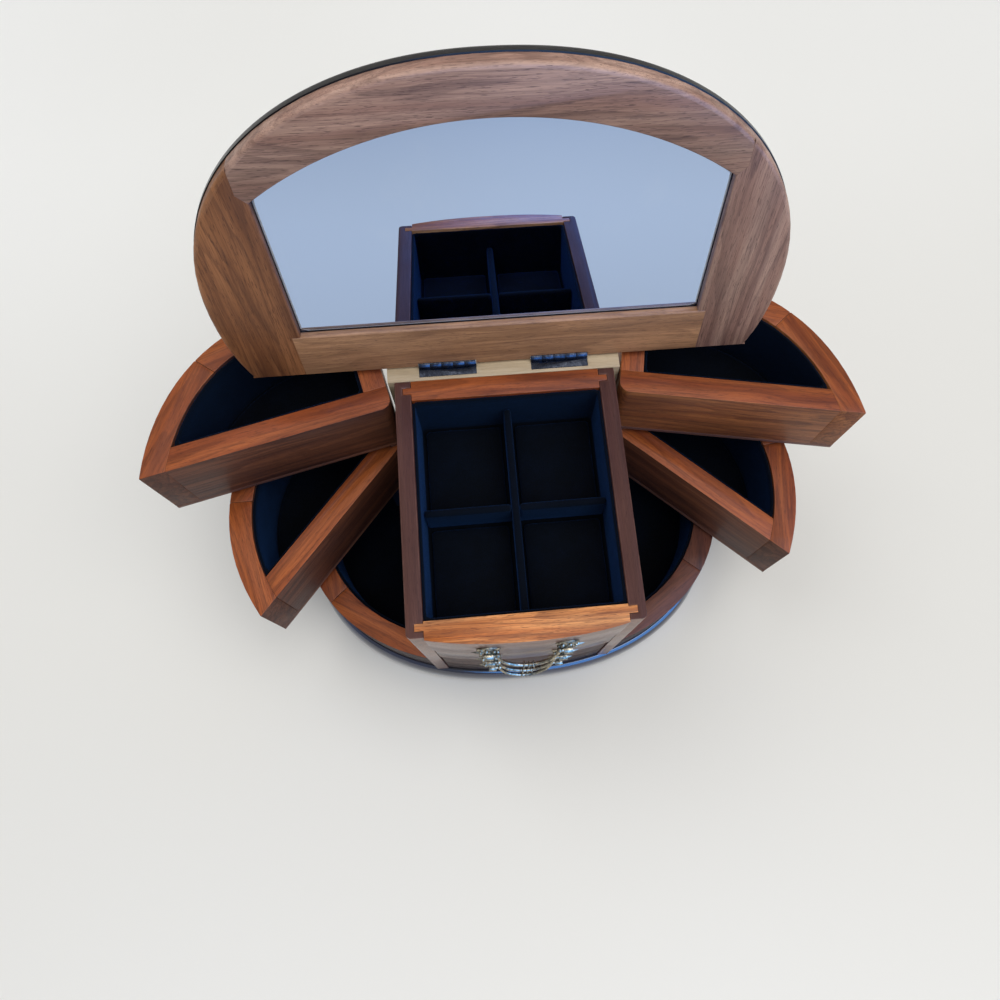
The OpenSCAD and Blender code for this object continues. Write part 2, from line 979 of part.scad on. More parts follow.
// part of the lid that a stile takes, between the joints with the two rails
module stile_region(side) {
    x = sight_half_w + frame_joint_out;
    y = lid_rear_y - sight_bottom;
    scale([side, 1])
        polygon([
            [sight_half_w, y], [x, y], [x, lid_rear_y + cut], [lid_w, lid_rear_y + cut],
            [lid_w, -lid_d], [x, -lid_d], [x, y - sight_side - frame_joint_out],
            [sight_half_w, y - sight_side]
        ]);
}

module lid_left_stile() {
    color([0.43, 0.25, 0.19])
        frame_solid()
            stile_region(left);
}

module lid_right_stile() {
    color([0.43, 0.25, 0.19])
        frame_solid()
            stile_region(right);
}

module lid_bottom_rail() {
    color([0.45, 0.27, 0.20])
        frame_solid()
            bottom_rail_region();
}

// outer panel with a rounded edge, in thin steps
module lid_panel() {
    steps = 4;
    color([0.10, 0.06, 0.05])
        opened()
            difference() {
                translate([0, 0, panel_z]) {
                    linear_extrude(panel_t - panel_round)
                        lid_plan();
                    for (i = [0 : steps - 1])
                        translate([0, 0, panel_t - panel_round + i * panel_round / steps])
                            linear_extrude(panel_round / steps)
                                lid_plan(panel_round * (1 - sqrt(1 - pow((i + 0.5) / steps, 2))));
                }
                hinge_notches();
                lid_screws(screw_shank_r, screw_l + cut);
            }
}

module mirror_glass() {
    color([0.75, 0.80, 0.85])
        opened()
            translate([0, 0, mirror_z])
                linear_extrude(mirror_t)
                    sight(mirror_lap);
}

module mirror_card() {
    color([0.30, 0.25, 0.20])
        opened()
            translate([0, 0, mirror_z + mirror_t + joint_fit])
                linear_extrude(backing_t - 2 * joint_fit)
                    sight(mirror_lap);
}

// ---- hinges ----

module at_hinges() {
    for (x = [-hinge_x, hinge_x])
        translate([x, 0, 0])
            children();
}

// room in the lid for the knuckles and the lid's leaves
module hinge_notches() {
    at_hinges() {
        translate([-hinge_l / 2 - recess_fit, pin_y, pin_z])
            rotate([0, 90, 0])
                cylinder(h = hinge_l + 2 * recess_fit, r = knuckle_r + recess_fit);
        translate([-hinge_l / 2 - recess_fit, pin_y - leaf_t, pin_z])
            cube([hinge_l + 2 * recess_fit, leaf_t + cut, lid_leaf_w + recess_fit]);
    }
}

// knuckles of one leaf: the first takes every second one from the left end
module knuckles(first) {
    for (i = [first : 2 : knuckle_n - 1])
        translate([-hinge_l / 2 + i * knuckle_l + knuckle_gap / 2, pin_y, pin_z])
            rotate([0, 90, 0])
                cylinder(h = knuckle_l - knuckle_gap, r = knuckle_r);
}

// the other leaf's knuckles turn in these gaps
module knuckle_gaps(first) {
    for (i = [first : 2 : knuckle_n - 1])
        translate([-hinge_l / 2 + i * knuckle_l - knuckle_gap / 2, pin_y, pin_z])
            rotate([0, 90, 0])
                cylinder(h = knuckle_l + knuckle_gap, r = knuckle_r + recess_fit);
}

module pin_bore(r) {
    translate([-hinge_l, pin_y, pin_z])
        rotate([0, 90, 0])
            cylinder(h = 2 * hinge_l, r = r);
}

module screw_xs() {
    for (i = [0 : screw_n - 1])
        translate([(i - (screw_n - 1) / 2) * hinge_l / screw_n, 0, 0])
            children();
}

// screws of the leaves on the back board, upright
module base_screws(r, l) {
    at_hinges()
        screw_xs()
            translate([0, pin_y - base_leaf_w + screw_head_r + screw_edge, body_h - l])
                cylinder(h = l, r = r);
}

// screws of the lid's leaves, along Y while the lid is closed
module lid_screws(r, l) {
    at_hinges()
        screw_xs()
            translate([0, lid_rear_y, pin_z + lid_leaf_w - screw_head_r - lid_screw_edge])
                rotate([90, 0, 0])
                    cylinder(h = l, r = r);
}

module hinge_base_leaves() {
    color([0.06, 0.06, 0.07])
        difference() {
            at_hinges()
                difference() {
                    union() {
                        translate([-hinge_l / 2, pin_y - base_leaf_w, body_h - leaf_t + joint_fit])
                            cube([hinge_l, base_leaf_w, leaf_t]);
                        knuckles(0);
                    }
                    knuckle_gaps(1);
                    pin_bore(pin_r);
                }
            base_screws(screw_head_r, leaf_t + cut);
        }
}

module hinge_lid_leaves() {
    color([0.06, 0.06, 0.07])
        opened()
            difference() {
                at_hinges()
                    difference() {
                        union() {
                            translate([-hinge_l / 2, pin_y - leaf_t + joint_fit, pin_z])
                                cube([hinge_l, leaf_t - joint_fit, lid_leaf_w]);
                            knuckles(1);
                        }
                        knuckle_gaps(0);
                        pin_bore(pin_r + running_fit);
                    }
                lid_screws(screw_head_r, leaf_t + cut);
            }
}

// pins of the hinges, and the screws that hold their leaves to the back board
module hinge_pins_and_screws() {
    color([0.20, 0.20, 0.21]) {
        at_hinges()
            translate([-hinge_l / 2, pin_y, pin_z])
                rotate([0, 90, 0])
                    cylinder(h = hinge_l, r = pin_r);
        base_screws(screw_shank_r, screw_l);
        at_hinges()
            screw_xs()
                translate([0, pin_y - base_leaf_w + screw_head_r + screw_edge, body_h - leaf_t + joint_fit])
                    cylinder(h = leaf_t - screw_set, r = screw_head_r);
    }
}

module lid_leaf_screws() {
    color([0.20, 0.20, 0.21])
        opened() {
            lid_screws(screw_shank_r, screw_l);
            at_hinges()
                screw_xs()
                    translate([0, lid_rear_y - screw_set,
                               pin_z + lid_leaf_w - screw_head_r - lid_screw_edge])
                        rotate([90, 0, 0])
                            cylinder(h = leaf_t - screw_set, r = screw_head_r);
        }
}

felt_pad();
plinth();
base_wall_left();
base_wall_right();
base_back_walls();
pivot_blocks();
base_front();
base_lining();
cheeks();
back_board();
top_front();
back_rail();
column_boards();
top_lining();
dividers();
upper_drawer("front");  // upper_drawer_front
upper_drawer("box");  // upper_drawer_box
upper_drawer("lining");  // upper_drawer_lining
lower_drawer("front");  // lower_drawer_front
lower_drawer("box");  // lower_drawer_box
lower_drawer("lining");  // lower_drawer_lining
posts(top_handle_z, 0);  // top_posts
posts(upper_handle_z, upper_set);  // upper_drawer_posts
posts(lower_handle_z, lower_set);  // lower_drawer_posts
bail(top_handle_z, 0);  // top_bail
bail(upper_handle_z, upper_set);  // upper_drawer_bail
bail(lower_handle_z, lower_set);  // lower_drawer_bail
upper_left("inner_wall");  // upper_left_inner_wall
upper_left("outer_wall");  // upper_left_outer_wall
upper_left("back_wall");  // upper_left_back_wall
upper_left("floor");  // upper_left_floor
upper_left("lining");  // upper_left_lining
upper_right("inner_wall");  // upper_right_inner_wall
upper_right("outer_wall");  // upper_right_outer_wall
upper_right("back_wall");  // upper_right_back_wall
upper_right("floor");  // upper_right_floor
upper_right("lining");  // upper_right_lining
lower_left("inner_wall");  // lower_left_inner_wall
lower_left("outer_wall");  // lower_left_outer_wall
lower_left("back_wall");  // lower_left_back_wall
lower_left("floor");  // lower_left_floor
lower_left("lining");  // lower_left_lining
lower_right("inner_wall");  // lower_right_inner_wall
lower_right("outer_wall");  // lower_right_outer_wall
lower_right("back_wall");  // lower_right_back_wall
lower_right("floor");  // lower_right_floor
lower_right("lining");  // lower_right_lining
pivot_rods();
rod_collars();
lid_panel();
lid_top_rail();
lid_left_stile();
lid_right_stile();
lid_bottom_rail();
mirror_glass();  // mirror
mirror_card();
hinge_base_leaves();
hinge_lid_leaves();
hinge_pins_and_screws();
lid_leaf_screws();
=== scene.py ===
import json
import logging
import math
from dataclasses import dataclass, field
from enum import Enum
from typing import Callable, Optional, Sequence

import bmesh
import bpy
from mathutils import Matrix, Vector, noise


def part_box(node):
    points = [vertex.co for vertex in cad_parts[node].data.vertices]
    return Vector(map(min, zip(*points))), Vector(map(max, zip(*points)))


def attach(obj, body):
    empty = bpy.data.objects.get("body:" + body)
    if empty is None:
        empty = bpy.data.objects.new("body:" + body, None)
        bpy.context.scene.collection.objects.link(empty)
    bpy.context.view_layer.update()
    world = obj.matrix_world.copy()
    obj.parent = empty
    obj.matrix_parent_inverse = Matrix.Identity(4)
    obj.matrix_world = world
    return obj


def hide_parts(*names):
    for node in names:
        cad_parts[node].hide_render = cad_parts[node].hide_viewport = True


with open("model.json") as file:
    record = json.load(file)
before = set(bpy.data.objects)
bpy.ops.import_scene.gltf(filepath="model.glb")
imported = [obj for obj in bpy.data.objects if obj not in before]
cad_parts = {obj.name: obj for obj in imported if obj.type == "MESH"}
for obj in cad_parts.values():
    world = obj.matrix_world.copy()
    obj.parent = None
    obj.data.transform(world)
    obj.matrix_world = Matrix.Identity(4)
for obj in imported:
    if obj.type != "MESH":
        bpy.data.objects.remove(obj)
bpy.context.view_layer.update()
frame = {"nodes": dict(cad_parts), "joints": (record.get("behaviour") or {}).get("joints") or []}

MM = 0.001
LOG = logging.getLogger("jewellery_box")

Colour = tuple[float, float, float, float]
Point = tuple[float, float]


def srgb(red: int, green: int, blue: int) -> Colour:
    """Turn a colour written in 0-255 sRGB into linear RGBA.

    Args:
        red: Red channel, 0 to 255.
        green: Green channel, 0 to 255.
        blue: Blue channel, 0 to 255.

    Returns:
        The linear colour with full alpha.
    """
    def linear(v: float) -> float:
        """Undo the sRGB curve for one channel from 0 to 1."""
        return v / 12.92 if v <= 0.04045 else ((v + 0.055) / 1.055) ** 2.4
    return (linear(red / 255), linear(green / 255), linear(blue / 255), 1.0)


# ---------------------------------------------------------------- sizes and places


@dataclass(frozen=True)
class Oval:
    """A half-oval outline: a full oval of a given fullness, cut off by a straight rear edge.

    Distances are in metres. A point counts as drawn in when the oval's half axes are made
    shorter by the inset.
    """

    half_width: float
    reach: float
    widest_y: float
    power: float
    rear_y: float

    def level(self, x: float, y: float, inset: float = 0.0) -> float:
        """Say how far out a point lies, where 1 is on the oval.

        Args:
            x: Distance from the centre line.
            y: Distance along the depth of the box.
            inset: How far the oval is drawn in.

        Returns:
            A number below 1 inside the oval and above 1 outside it.
        """
        u = abs(x) / (self.half_width - inset)
        v = abs(self.widest_y - y) / (self.reach - inset)
        return (u ** self.power + v ** self.power) ** (1 / self.power)

    def inside(self, x: float, y: float, inset: float = 0.0) -> bool:
        """Say whether a point lies inside the drawn-in oval and in front of the rear edge."""
        return self.level(x, y, inset) <= 1 and y <= self.rear_y


@dataclass(frozen=True)
class Sizes:
    """The driving sizes of the box, in metres, as its construction has them."""

    body_w: float = 266.8 * MM
    body_d: float = 147.0 * MM
    widest_in: float = 39.6 * MM
    plan_power: float = 2.28
    column_w: float = 114.0 * MM
    cheek_t: float = 8.4 * MM
    board_t: float = 8.5 * MM
    front_t: float = 13.8 * MM
    back_rail_t: float = 11.0 * MM
    tray_wall: float = 12.1 * MM
    cheek_gap: float = 2.9 * MM
    tray_rear_gap: float = 1.4 * MM
    joint_angle: float = math.radians(40.7)
    back_board_turn: float = math.radians(-80.9)
    front_board_turn: float = math.radians(-34.8)
    base_wall: float = 13.0 * MM
    base_in: float = 1.5 * MM
    base_back_t: float = 10.0 * MM
    block_out: float = 20.0 * MM
    block_d: float = 16.0 * MM
    plinth_out: float = 3.5 * MM
    lid_w: float = 269.0 * MM
    lid_front_out: float = 2.0 * MM
    lid_widest: float = 38.0 * MM
    lid_power: float = 2.17
    lid_frame_t: float = 6.5 * MM
    sight_half_w: float = 97.0 * MM
    sight_bottom: float = 26.0 * MM
    sight_side: float = 73.8 * MM
    sight_rise: float = 29.2 * MM
    mirror_lap: float = 4.0 * MM
    lining_t: float = 1.4 * MM
    lining_fit: float = 0.2 * MM

    @property
    def rear_y(self) -> float:
        """Rear face of the body."""
        return self.body_d / 2

    @property
    def column_back(self) -> float:
        """Back plane of the column's cheeks."""
        return self.rear_y - self.board_t

    @property
    def bay_half(self) -> float:
        """Half the clear width between the cheeks."""
        return self.column_w / 2 - self.cheek_t

    @property
    def tray_in_x(self) -> float:
        """Inner face of a closed left tray."""
        return -(self.column_w / 2 + self.cheek_gap)

    @property
    def tray_rear_y(self) -> float:
        """Rear face of a closed tray."""
        return self.column_back - self.tray_rear_gap

    @property
    def plan(self) -> Oval:
        """The outline of the body."""
        return Oval(self.body_w / 2, self.body_d - self.widest_in, self.rear_y - self.widest_in,
                    self.plan_power, self.rear_y)


SIZES = Sizes()


class Side(Enum):
    """The two sides of the box, as signs of X."""

    LEFT = -1
    RIGHT = 1


def joint_named(name: str) -> dict:
    """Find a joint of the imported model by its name."""
    return next(j for j in frame["joints"] if j["name"] == name)


@dataclass(frozen=True)
class Placement:
    """Places a sub-assembly drawn closed, on the left where it has a side, at its rest pose."""

    matrix: Matrix = field(default_factory=lambda: Matrix.Identity(4))

    @staticmethod
    def tray(joint: str, side: Side) -> "Placement":
        """Place a tray that is drawn closed on the left, from its joint's range."""
        j = joint_named(joint)
        x, y, _ = j["pos_m"]
        angle = math.radians(j["range_deg"][0])
        pivot = Vector((-abs(x), y, 0))
        turn = Matrix.Translation(pivot) @ Matrix.Rotation(angle, 4, "Z") @ Matrix.Translation(-pivot)
        flip = Matrix.Scale(-1, 4, (1, 0, 0)) if side is Side.RIGHT else Matrix.Identity(4)
        return Placement(flip @ turn)

    @staticmethod
    def lid() -> "Placement":
        """Place the lid, which is drawn closed, from its joint's range."""
        j = joint_named("lid_hinge")
        pin = Vector(j["pos_m"])
        turn = Matrix.Rotation(math.radians(j["range_deg"][0]), 4, "X")
        return Placement(Matrix.Translation(pin) @ turn @ Matrix.Translation(-pin))

    @staticmethod
    def mirrored(side: Side) -> "Placement":
        """Place what is drawn on the left at either side."""
        flip = Matrix.Scale(-1, 4, (1, 0, 0)) if side is Side.RIGHT else Matrix.Identity(4)
        return Placement(flip)


# ---------------------------------------------------------------- shader building


class Graph:
    """A short way to add and join nodes in a node tree."""

    def __init__(self, tree: bpy.types.NodeTree) -> None:
        """Keep the tree and empty it."""
        self.tree = tree
        self.tree.nodes.clear()

    def add(self, kind: str, inputs: Optional[dict] = None, **settings) -> bpy.types.Node:
        """Add a node.

        Args:
            kind: The node's type name.
            inputs: Values or output sockets by input name or index.
            settings: Properties to set on the node.

        Returns:
            The new node.
        """
        node = self.tree.nodes.new(kind)
        for key, value in settings.items():
            setattr(node, key, value)
        self.feed(node, inputs or {})
        return node

    def feed(self, node: bpy.types.Node, inputs: dict) -> None:
        """Join outputs to a node's inputs, or set the inputs' own values."""
        for key, value in inputs.items():
            if isinstance(value, bpy.types.NodeSocket):
                self.tree.links.new(value, node.inputs[key])
            else:
                node.inputs[key].default_value = value

    def out(self, kind: str, inputs: Optional[dict] = None, **settings) -> bpy.types.NodeSocket:
        """Add a node as add does, and give its first output."""
        return self.add(kind, inputs, **settings).outputs[0]

    def place(self) -> bpy.types.NodeSocket:
        """Give the object's own coordinates."""
        return self.add("ShaderNodeTexCoord").outputs["Object"]

    def maths(self, operation: str, a, b=0.0, clamp: bool = False) -> bpy.types.NodeSocket:
        """Join two values with a Math node and give its output."""
        return self.out("ShaderNodeMath", {0: a, 1: b}, operation=operation, use_clamp=clamp)

    def times(self, a, b, clamp: bool = False) -> bpy.types.NodeSocket:
        """Give the product of two values."""
        return self.maths("MULTIPLY", a, b, clamp)

    def plus(self, a, b) -> bpy.types.NodeSocket:
        """Give the sum of two values."""
        return self.maths("ADD", a, b)

    def mix(self, factor, a, b, blend: str = "MIX") -> bpy.types.NodeSocket:
        """Mix two colours and give the result's socket."""
        node = self.add("ShaderNodeMix", data_type="RGBA", blend_type=blend)
        self.feed(node, {0: factor, 6: a, 7: b})
        return node.outputs[2]

    def ramp(self, value, low: float, high: float) -> bpy.types.NodeSocket:
        """Map a value from one range to 0-1 with smooth ends."""
        return self.out("ShaderNodeMapRange", {0: value, 1: low, 2: high}, interpolation_type="SMOOTHSTEP")

    def noise(self, vector, scale: float, detail: float = 3.0, rough: float = 0.5) -> bpy.types.NodeSocket:
        """Give the value of a noise texture."""
        return self.out("ShaderNodeTexNoise", {"Vector": vector, "Scale": scale, "Detail": detail,
                                               "Roughness": rough})

    def stretched(self, vector, scale: Sequence[float], shift: Sequence[float] = (0, 0, 0)):
        """Scale and shift a vector and give the result's socket."""
        return self.out("ShaderNodeMapping", {"Vector": vector, "Scale": scale, "Location": shift})


def new_group(name: str, inputs: dict[str, tuple], outputs: dict[str, str]) -> tuple[Graph, dict, object]:
    """Start a shader node group.

    Args:
        name: The group's name.
        inputs: Socket type and first value by input name.
        outputs: Socket type by output name.

    Returns:
        The group's graph, its input sockets by name, and its output node.
    """
    tree = bpy.data.node_groups.new(name, "ShaderNodeTree")
    for key, (kind, value) in inputs.items():
        socket = tree.interface.new_socket(name=key, in_out="INPUT", socket_type=kind)
        if value is not None:
            socket.default_value = value
    for key, kind in outputs.items():
        tree.interface.new_socket(name=key, in_out="OUTPUT", socket_type=kind)
    graph = Graph(tree)
    source = graph.add("NodeGroupInput")
    sink = graph.add("NodeGroupOutput")
    return graph, {key: source.outputs[key] for key in inputs}, sink


FLOAT, INT, COLOUR, VECTOR, GEOMETRY, MATERIAL, OBJECT = (
    "NodeSocket" + kind for kind in ("Float", "Int", "Color", "Vector", "Geometry", "Material", "Object"))


def build_wood_figure() -> bpy.types.NodeTree:
    """Make the group that draws wood in a board's own frame: X runs with the grain.

    Growth lines are the contour lines of a long slow noise, so they close into the pointed
    arches of sawn boards. Fibres and pores lie over them.

    Returns:
        The node group, which puts out colour, roughness and height.
    """
    g, i, out = new_group(
        "wood_figure",
        {"Vector": (VECTOR, None),
         "Light": (COLOUR, None), "Middle": (COLOUR, None), "Dark": (COLOUR, None),
         "Lines": (FLOAT, 9.0), "Streaks": (FLOAT, 0.4), "Pores": (FLOAT, 0.5), "Gloss": (FLOAT, 0.3)},
        {"Color": COLOUR, "Roughness": FLOAT, "Height": FLOAT})
    sway = g.noise(g.stretched(i["Vector"], (13, 40, 40)), 1.0, 2.0)
    swayed = g.out("ShaderNodeVectorMath", {0: i["Vector"], 1: g.out(
        "ShaderNodeVectorMath", {0: sway, 1: (0.0, 0.006, 0.005)}, operation="MULTIPLY")},
        operation="ADD")
    growth = g.noise(g.stretched(swayed, (5.5, 62, 62), (0.3, 1.1, 2.7)), 1.0, 1.5, 0.45)
    line = g.maths("FRACT", g.times(growth, i["Lines"]))
    late = g.times(g.ramp(line, 0.35, 0.93), g.maths("SUBTRACT", 1.0, g.ramp(line, 0.93, 1.0)))
    band = g.ramp(g.noise(g.stretched(swayed, (7, 130, 130), (4.3, 0.2, 1.4)), 1.0, 3.0, 0.55), 0.34, 0.66)
    streak = g.ramp(g.noise(g.stretched(swayed, (16, 760, 760)), 1.0, 4.0, 0.66), 0.44, 0.72)
    fibre = g.noise(g.stretched(i["Vector"], (60, 2900, 2900)), 1.0, 2.0, 0.6)
    cloud = g.ramp(g.noise(g.stretched(i["Vector"], (15, 42, 42), (3.1, 1.7, 0.4)), 1.0, 3.0), 0.25, 0.75)
    pore = g.ramp(g.noise(g.stretched(i["Vector"], (230, 3900, 3900)), 1.0, 1.0, 0.5), 0.60, 0.68)
    ground = g.mix(band, i["Light"], i["Middle"])
    lined = g.mix(g.times(late, g.times(i["Streaks"], 0.8)), ground, i["Dark"])
    streaked = g.mix(g.times(streak, i["Streaks"]), lined, i["Dark"])
    shade = g.maths("MULTIPLY_ADD", cloud, 0.30)
    shade.node.inputs[2].default_value = 0.84
    cloudy = g.mix(1.0, streaked, shade, "MULTIPLY")
    fine = g.mix(g.times(g.ramp(fibre, 0.40, 0.72), 0.30), cloudy, i["Dark"])
    pored = g.mix(g.times(pore, i["Pores"]), fine, g.mix(0.45, i["Dark"], (0, 0, 0, 1)))
    rough = g.plus(i["Gloss"], g.times(fibre, 0.2))
    height = g.maths("SUBTRACT", g.times(fibre, 0.4), g.times(pore, 0.8))
    for key, socket in (("Color", pored), ("Roughness", rough), ("Height", height)):
        g.tree.links.new(socket, out.inputs[key])
    return g.tree


def build_edge_wear() -> bpy.types.NodeTree:
    """Make the group that rubs a colour lighter or darker along worn edges.

    Returns:
        The node group, which puts out a colour and the wear mask.
    """
    g, i, out = new_group(
        "edge_wear",
        {"Color": (COLOUR, None), "Worn": (COLOUR, None), "Edge": (FLOAT, 0.0), "Vector": (VECTOR, None),
         "Amount": (FLOAT, 0.5)},
        {"Color": COLOUR, "Mask": FLOAT})
    patches = g.ramp(g.noise(i["Vector"], 90.0, 4.0, 0.7), 0.36, 0.66)
    mask = g.times(g.times(i["Edge"], patches), i["Amount"], True)
    g.tree.links.new(g.mix(mask, i["Color"], i["Worn"]), out.inputs["Color"])
    g.tree.links.new(mask, out.inputs["Mask"])
    return g.tree


def build_handling() -> bpy.types.NodeTree:
    """Make the group of faint smears and fine scratches that varies a gloss.

    Returns:
        The node group, which puts out a roughness and a height.
    """
    g, i, out = new_group(
        "handling", {"Vector": (VECTOR, None), "Base": (FLOAT, 0.2), "Smears": (FLOAT, 0.1)},
        {"Roughness": FLOAT, "Height": FLOAT})
    smear = g.ramp(g.noise(g.stretched(i["Vector"], (20, 34, 26)), 1.0, 5.0, 0.62), 0.42, 0.75)
    scratch = g.ramp(g.noise(g.stretched(i["Vector"], (40, 2600, 900)), 1.0, 1.0), 0.70, 0.76)
    rough = g.plus(i["Base"], g.times(smear, i["Smears"]))
    rough = g.plus(rough, g.times(scratch, 0.1))
    g.tree.links.new(rough, out.inputs["Roughness"])
    g.tree.links.new(g.times(scratch, -1.0), out.inputs["Height"])
    return g.tree


def build_pile() -> bpy.types.NodeTree:
    """Make the group that draws short velvet pile, brushed in soft patches.

    Returns:
        The node group, which puts out colour and height.
    """
    g, i, out = new_group(
        "velvet_pile", {"Vector": (VECTOR, None), "Deep": (COLOUR, None), "Tips": (COLOUR, None)},
        {"Color": COLOUR, "Height": FLOAT})
    brushed = g.ramp(g.noise(i["Vector"], 60.0, 4.0, 0.6), 0.38, 0.70)
    tuft = g.noise(i["Vector"], 1500.0, 2.0, 0.6)
    tone = g.times(g.plus(brushed, g.ramp(tuft, 0.35, 0.7)), 0.5)
    g.tree.links.new(g.mix(tone, i["Deep"], i["Tips"]), out.inputs["Color"])
    g.tree.links.new(tuft, out.inputs["Height"])
    return g.tree


def build_patina() -> bpy.types.NodeTree:
    """Make the group that lets dark tarnish lie on metal, away from its rubbed places.

    Returns:
        The node group, which puts out colour, roughness and height.
    """
    g, i, out = new_group(
        "patina", {"Vector": (VECTOR, None), "Metal": (COLOUR, None), "Tarnish": (COLOUR, None),
                   "Amount": (FLOAT, 0.5)},
        {"Color": COLOUR, "Roughness": FLOAT, "Height": FLOAT})
    fog = g.ramp(g.noise(i["Vector"], 420.0, 5.0, 0.7), 0.36, 0.68)
    speck = g.noise(i["Vector"], 2600.0, 2.0)
    mask = g.times(fog, i["Amount"], True)
    g.tree.links.new(g.mix(mask, i["Metal"], i["Tarnish"]), out.inputs["Color"])
    rough = g.plus(g.times(mask, 0.35), g.times(speck, 0.12))
    g.tree.links.new(g.plus(rough, 0.14), out.inputs["Roughness"])
    g.tree.links.new(g.plus(mask, speck), out.inputs["Height"])
    return g.tree


class Effect(Enum):
    """The shared shader groups, each with the function that makes it."""

    WOOD = "wood_figure"
    WEAR = "edge_wear"
    HANDLING = "handling"
    PILE = "velvet_pile"
    PATINA = "patina"


BUILDERS = {Effect.WOOD: build_wood_figure, Effect.WEAR: build_edge_wear, Effect.HANDLING: build_handling,
            Effect.PILE: build_pile, Effect.PATINA: build_patina}


def effect(graph: Graph, kind: Effect, inputs: dict) -> bpy.types.Node:
    """Place a shared group in a material, making it the first time it is asked for.

    Args:
        graph: The material's graph.
        kind: Which effect to place.
        inputs: Values or sockets by input name.

    Returns:
        The group node.
    """
    tree = bpy.data.node_groups.get(kind.value) or BUILDERS[kind]()
    node = graph.tree.nodes.new("ShaderNodeGroup")
    node.node_tree = tree
    for key, value in inputs.items():
        if isinstance(value, bpy.types.NodeSocket):
            graph.tree.links.new(value, node.inputs[key])
        else:
            node.inputs[key].default_value = value
    return node


# ---------------------------------------------------------------- finishes


@dataclass(frozen=True)
class Finish:
    """A surface finish that makes one material of its name."""

    name: str

    @property
    def label(self) -> str:
        """The material's name, which no construction material has."""
        return self.name + "_look"

    def start(self) -> tuple[bpy.types.Material, Graph, bpy.types.Node]:
        """Make the empty material with its shader and output.

        Returns:
            The material, its graph and its Principled BSDF node.
        """
        material = bpy.data.materials.new(self.label)
        material.use_nodes = True
        graph = Graph(material.node_tree)
        shader = graph.add("ShaderNodeBsdfPrincipled")
        output = graph.add("ShaderNodeOutputMaterial")
        graph.tree.links.new(shader.outputs[0], output.inputs[0])
        return material, graph, shader

    def bump(self, graph: Graph, shader: bpy.types.Node, height, distance: float, strength: float) -> None:
        """Join a height to the shader's normal through a Bump node."""
        node = graph.add("ShaderNodeBump", {"Height": height, "Distance": distance, "Strength": strength})
        graph.feed(shader, {"Normal": node.outputs[0]})

    def paint(self, graph: Graph, shader: bpy.types.Node) -> None:
        """Join the finish's nodes to the shader."""
        raise NotImplementedError

    def material(self) -> bpy.types.Material:
        """Give the finish's material, made once."""
        found = bpy.data.materials.get(self.label)
        if found:
            return found
        material, graph, shader = self.start()
        self.paint(graph, shader)
        return material


@dataclass(frozen=True)
class Wood(Finish):
    """Varnished wood, whose grain follows the piece's grain attribute."""

    light: Colour
    middle: Colour
    dark: Colour
    lines: float = 9.0
    streaks: float = 0.4
    pores: float = 0.5
    gloss: float = 0.28
    coat: float = 0.35
    wear: float = 0.5
    worn: Colour = (0.3, 0.13, 0.06, 1.0)
    coat_rough: float = 0.16
    specular: float = 0.4

    def paint(self, graph: Graph, shader: bpy.types.Node) -> None:
        """Draw the figure, the rubbed edges and a thin varnish."""
        grain = graph.add("ShaderNodeAttribute", attribute_name="grain").outputs["Vector"]
        edge = graph.add("ShaderNodeAttribute", attribute_name="edge").outputs["Fac"]
        wood = effect(graph, Effect.WOOD, {
            "Vector": grain, "Light": self.light, "Middle": self.middle, "Dark": self.dark,
            "Lines": self.lines, "Streaks": self.streaks, "Pores": self.pores, "Gloss": self.gloss})
        worn = effect(graph, Effect.WEAR, {"Color": wood.outputs["Color"], "Worn": self.worn, "Edge": edge,
                                           "Vector": grain, "Amount": self.wear})
        graph.feed(shader, {"Base Color": worn.outputs["Color"]})
        marks = effect(graph, Effect.HANDLING, {"Vector": grain, "Base": 0.0, "Smears": 0.12})
        rough = graph.plus(wood.outputs["Roughness"], marks.outputs["Roughness"])
        graph.feed(shader, {"Roughness": rough, "Coat Weight": self.coat,
                            "Coat Roughness": self.coat_rough, "Specular IOR Level": self.specular})
        self.bump(graph, shader, wood.outputs["Height"], 0.00012, 0.35)


@dataclass(frozen=True)
class Lacquer(Finish):
    """Deep, nearly black gloss over wood."""

    colour: Colour
    sheen_colour: Colour
    rough: float = 0.12
    coat: float = 0.8
    specular: float = 0.5

    def paint(self, graph: Graph, shader: bpy.types.Node) -> None:
        """Mix two close darks in soft clouds under a clear coat."""
        place = graph.place()
        cloud = graph.ramp(graph.noise(graph.stretched(place, (14, 50, 50)), 1.0, 4.0), 0.3, 0.75)
        graph.feed(shader, {"Base Color": graph.mix(cloud, self.colour, self.sheen_colour)})
        marks = effect(graph, Effect.HANDLING, {"Vector": place, "Base": self.rough, "Smears": 0.14})
        graph.feed(shader, {"Roughness": marks.outputs["Roughness"], "Coat Weight": self.coat,
                            "Coat Roughness": 0.06, "Specular IOR Level": self.specular})
        self.bump(graph, shader, marks.outputs["Height"], 0.00005, 0.15)


@dataclass(frozen=True)
class Velvet(Finish):
    """Short cut pile that shows a soft light rim."""

    deep: Colour
    tips: Colour
    sheen: float = 0.55

    def paint(self, graph: Graph, shader: bpy.types.Node) -> None:
        """Draw the pile and set its sheen."""
        place = graph.place()
        pile = effect(graph, Effect.PILE, {"Vector": place, "Deep": self.deep, "Tips": self.tips})
        graph.feed(shader, {"Base Color": pile.outputs["Color"], "Roughness": 0.95,
                            "Specular IOR Level": 0.12, "Sheen Weight": self.sheen,
                            "Sheen Roughness": 0.42, "Sheen Tint": (0.045, 0.20, 0.66, 1.0)})
        self.bump(graph, shader, pile.outputs["Height"], 0.0004, 0.9)


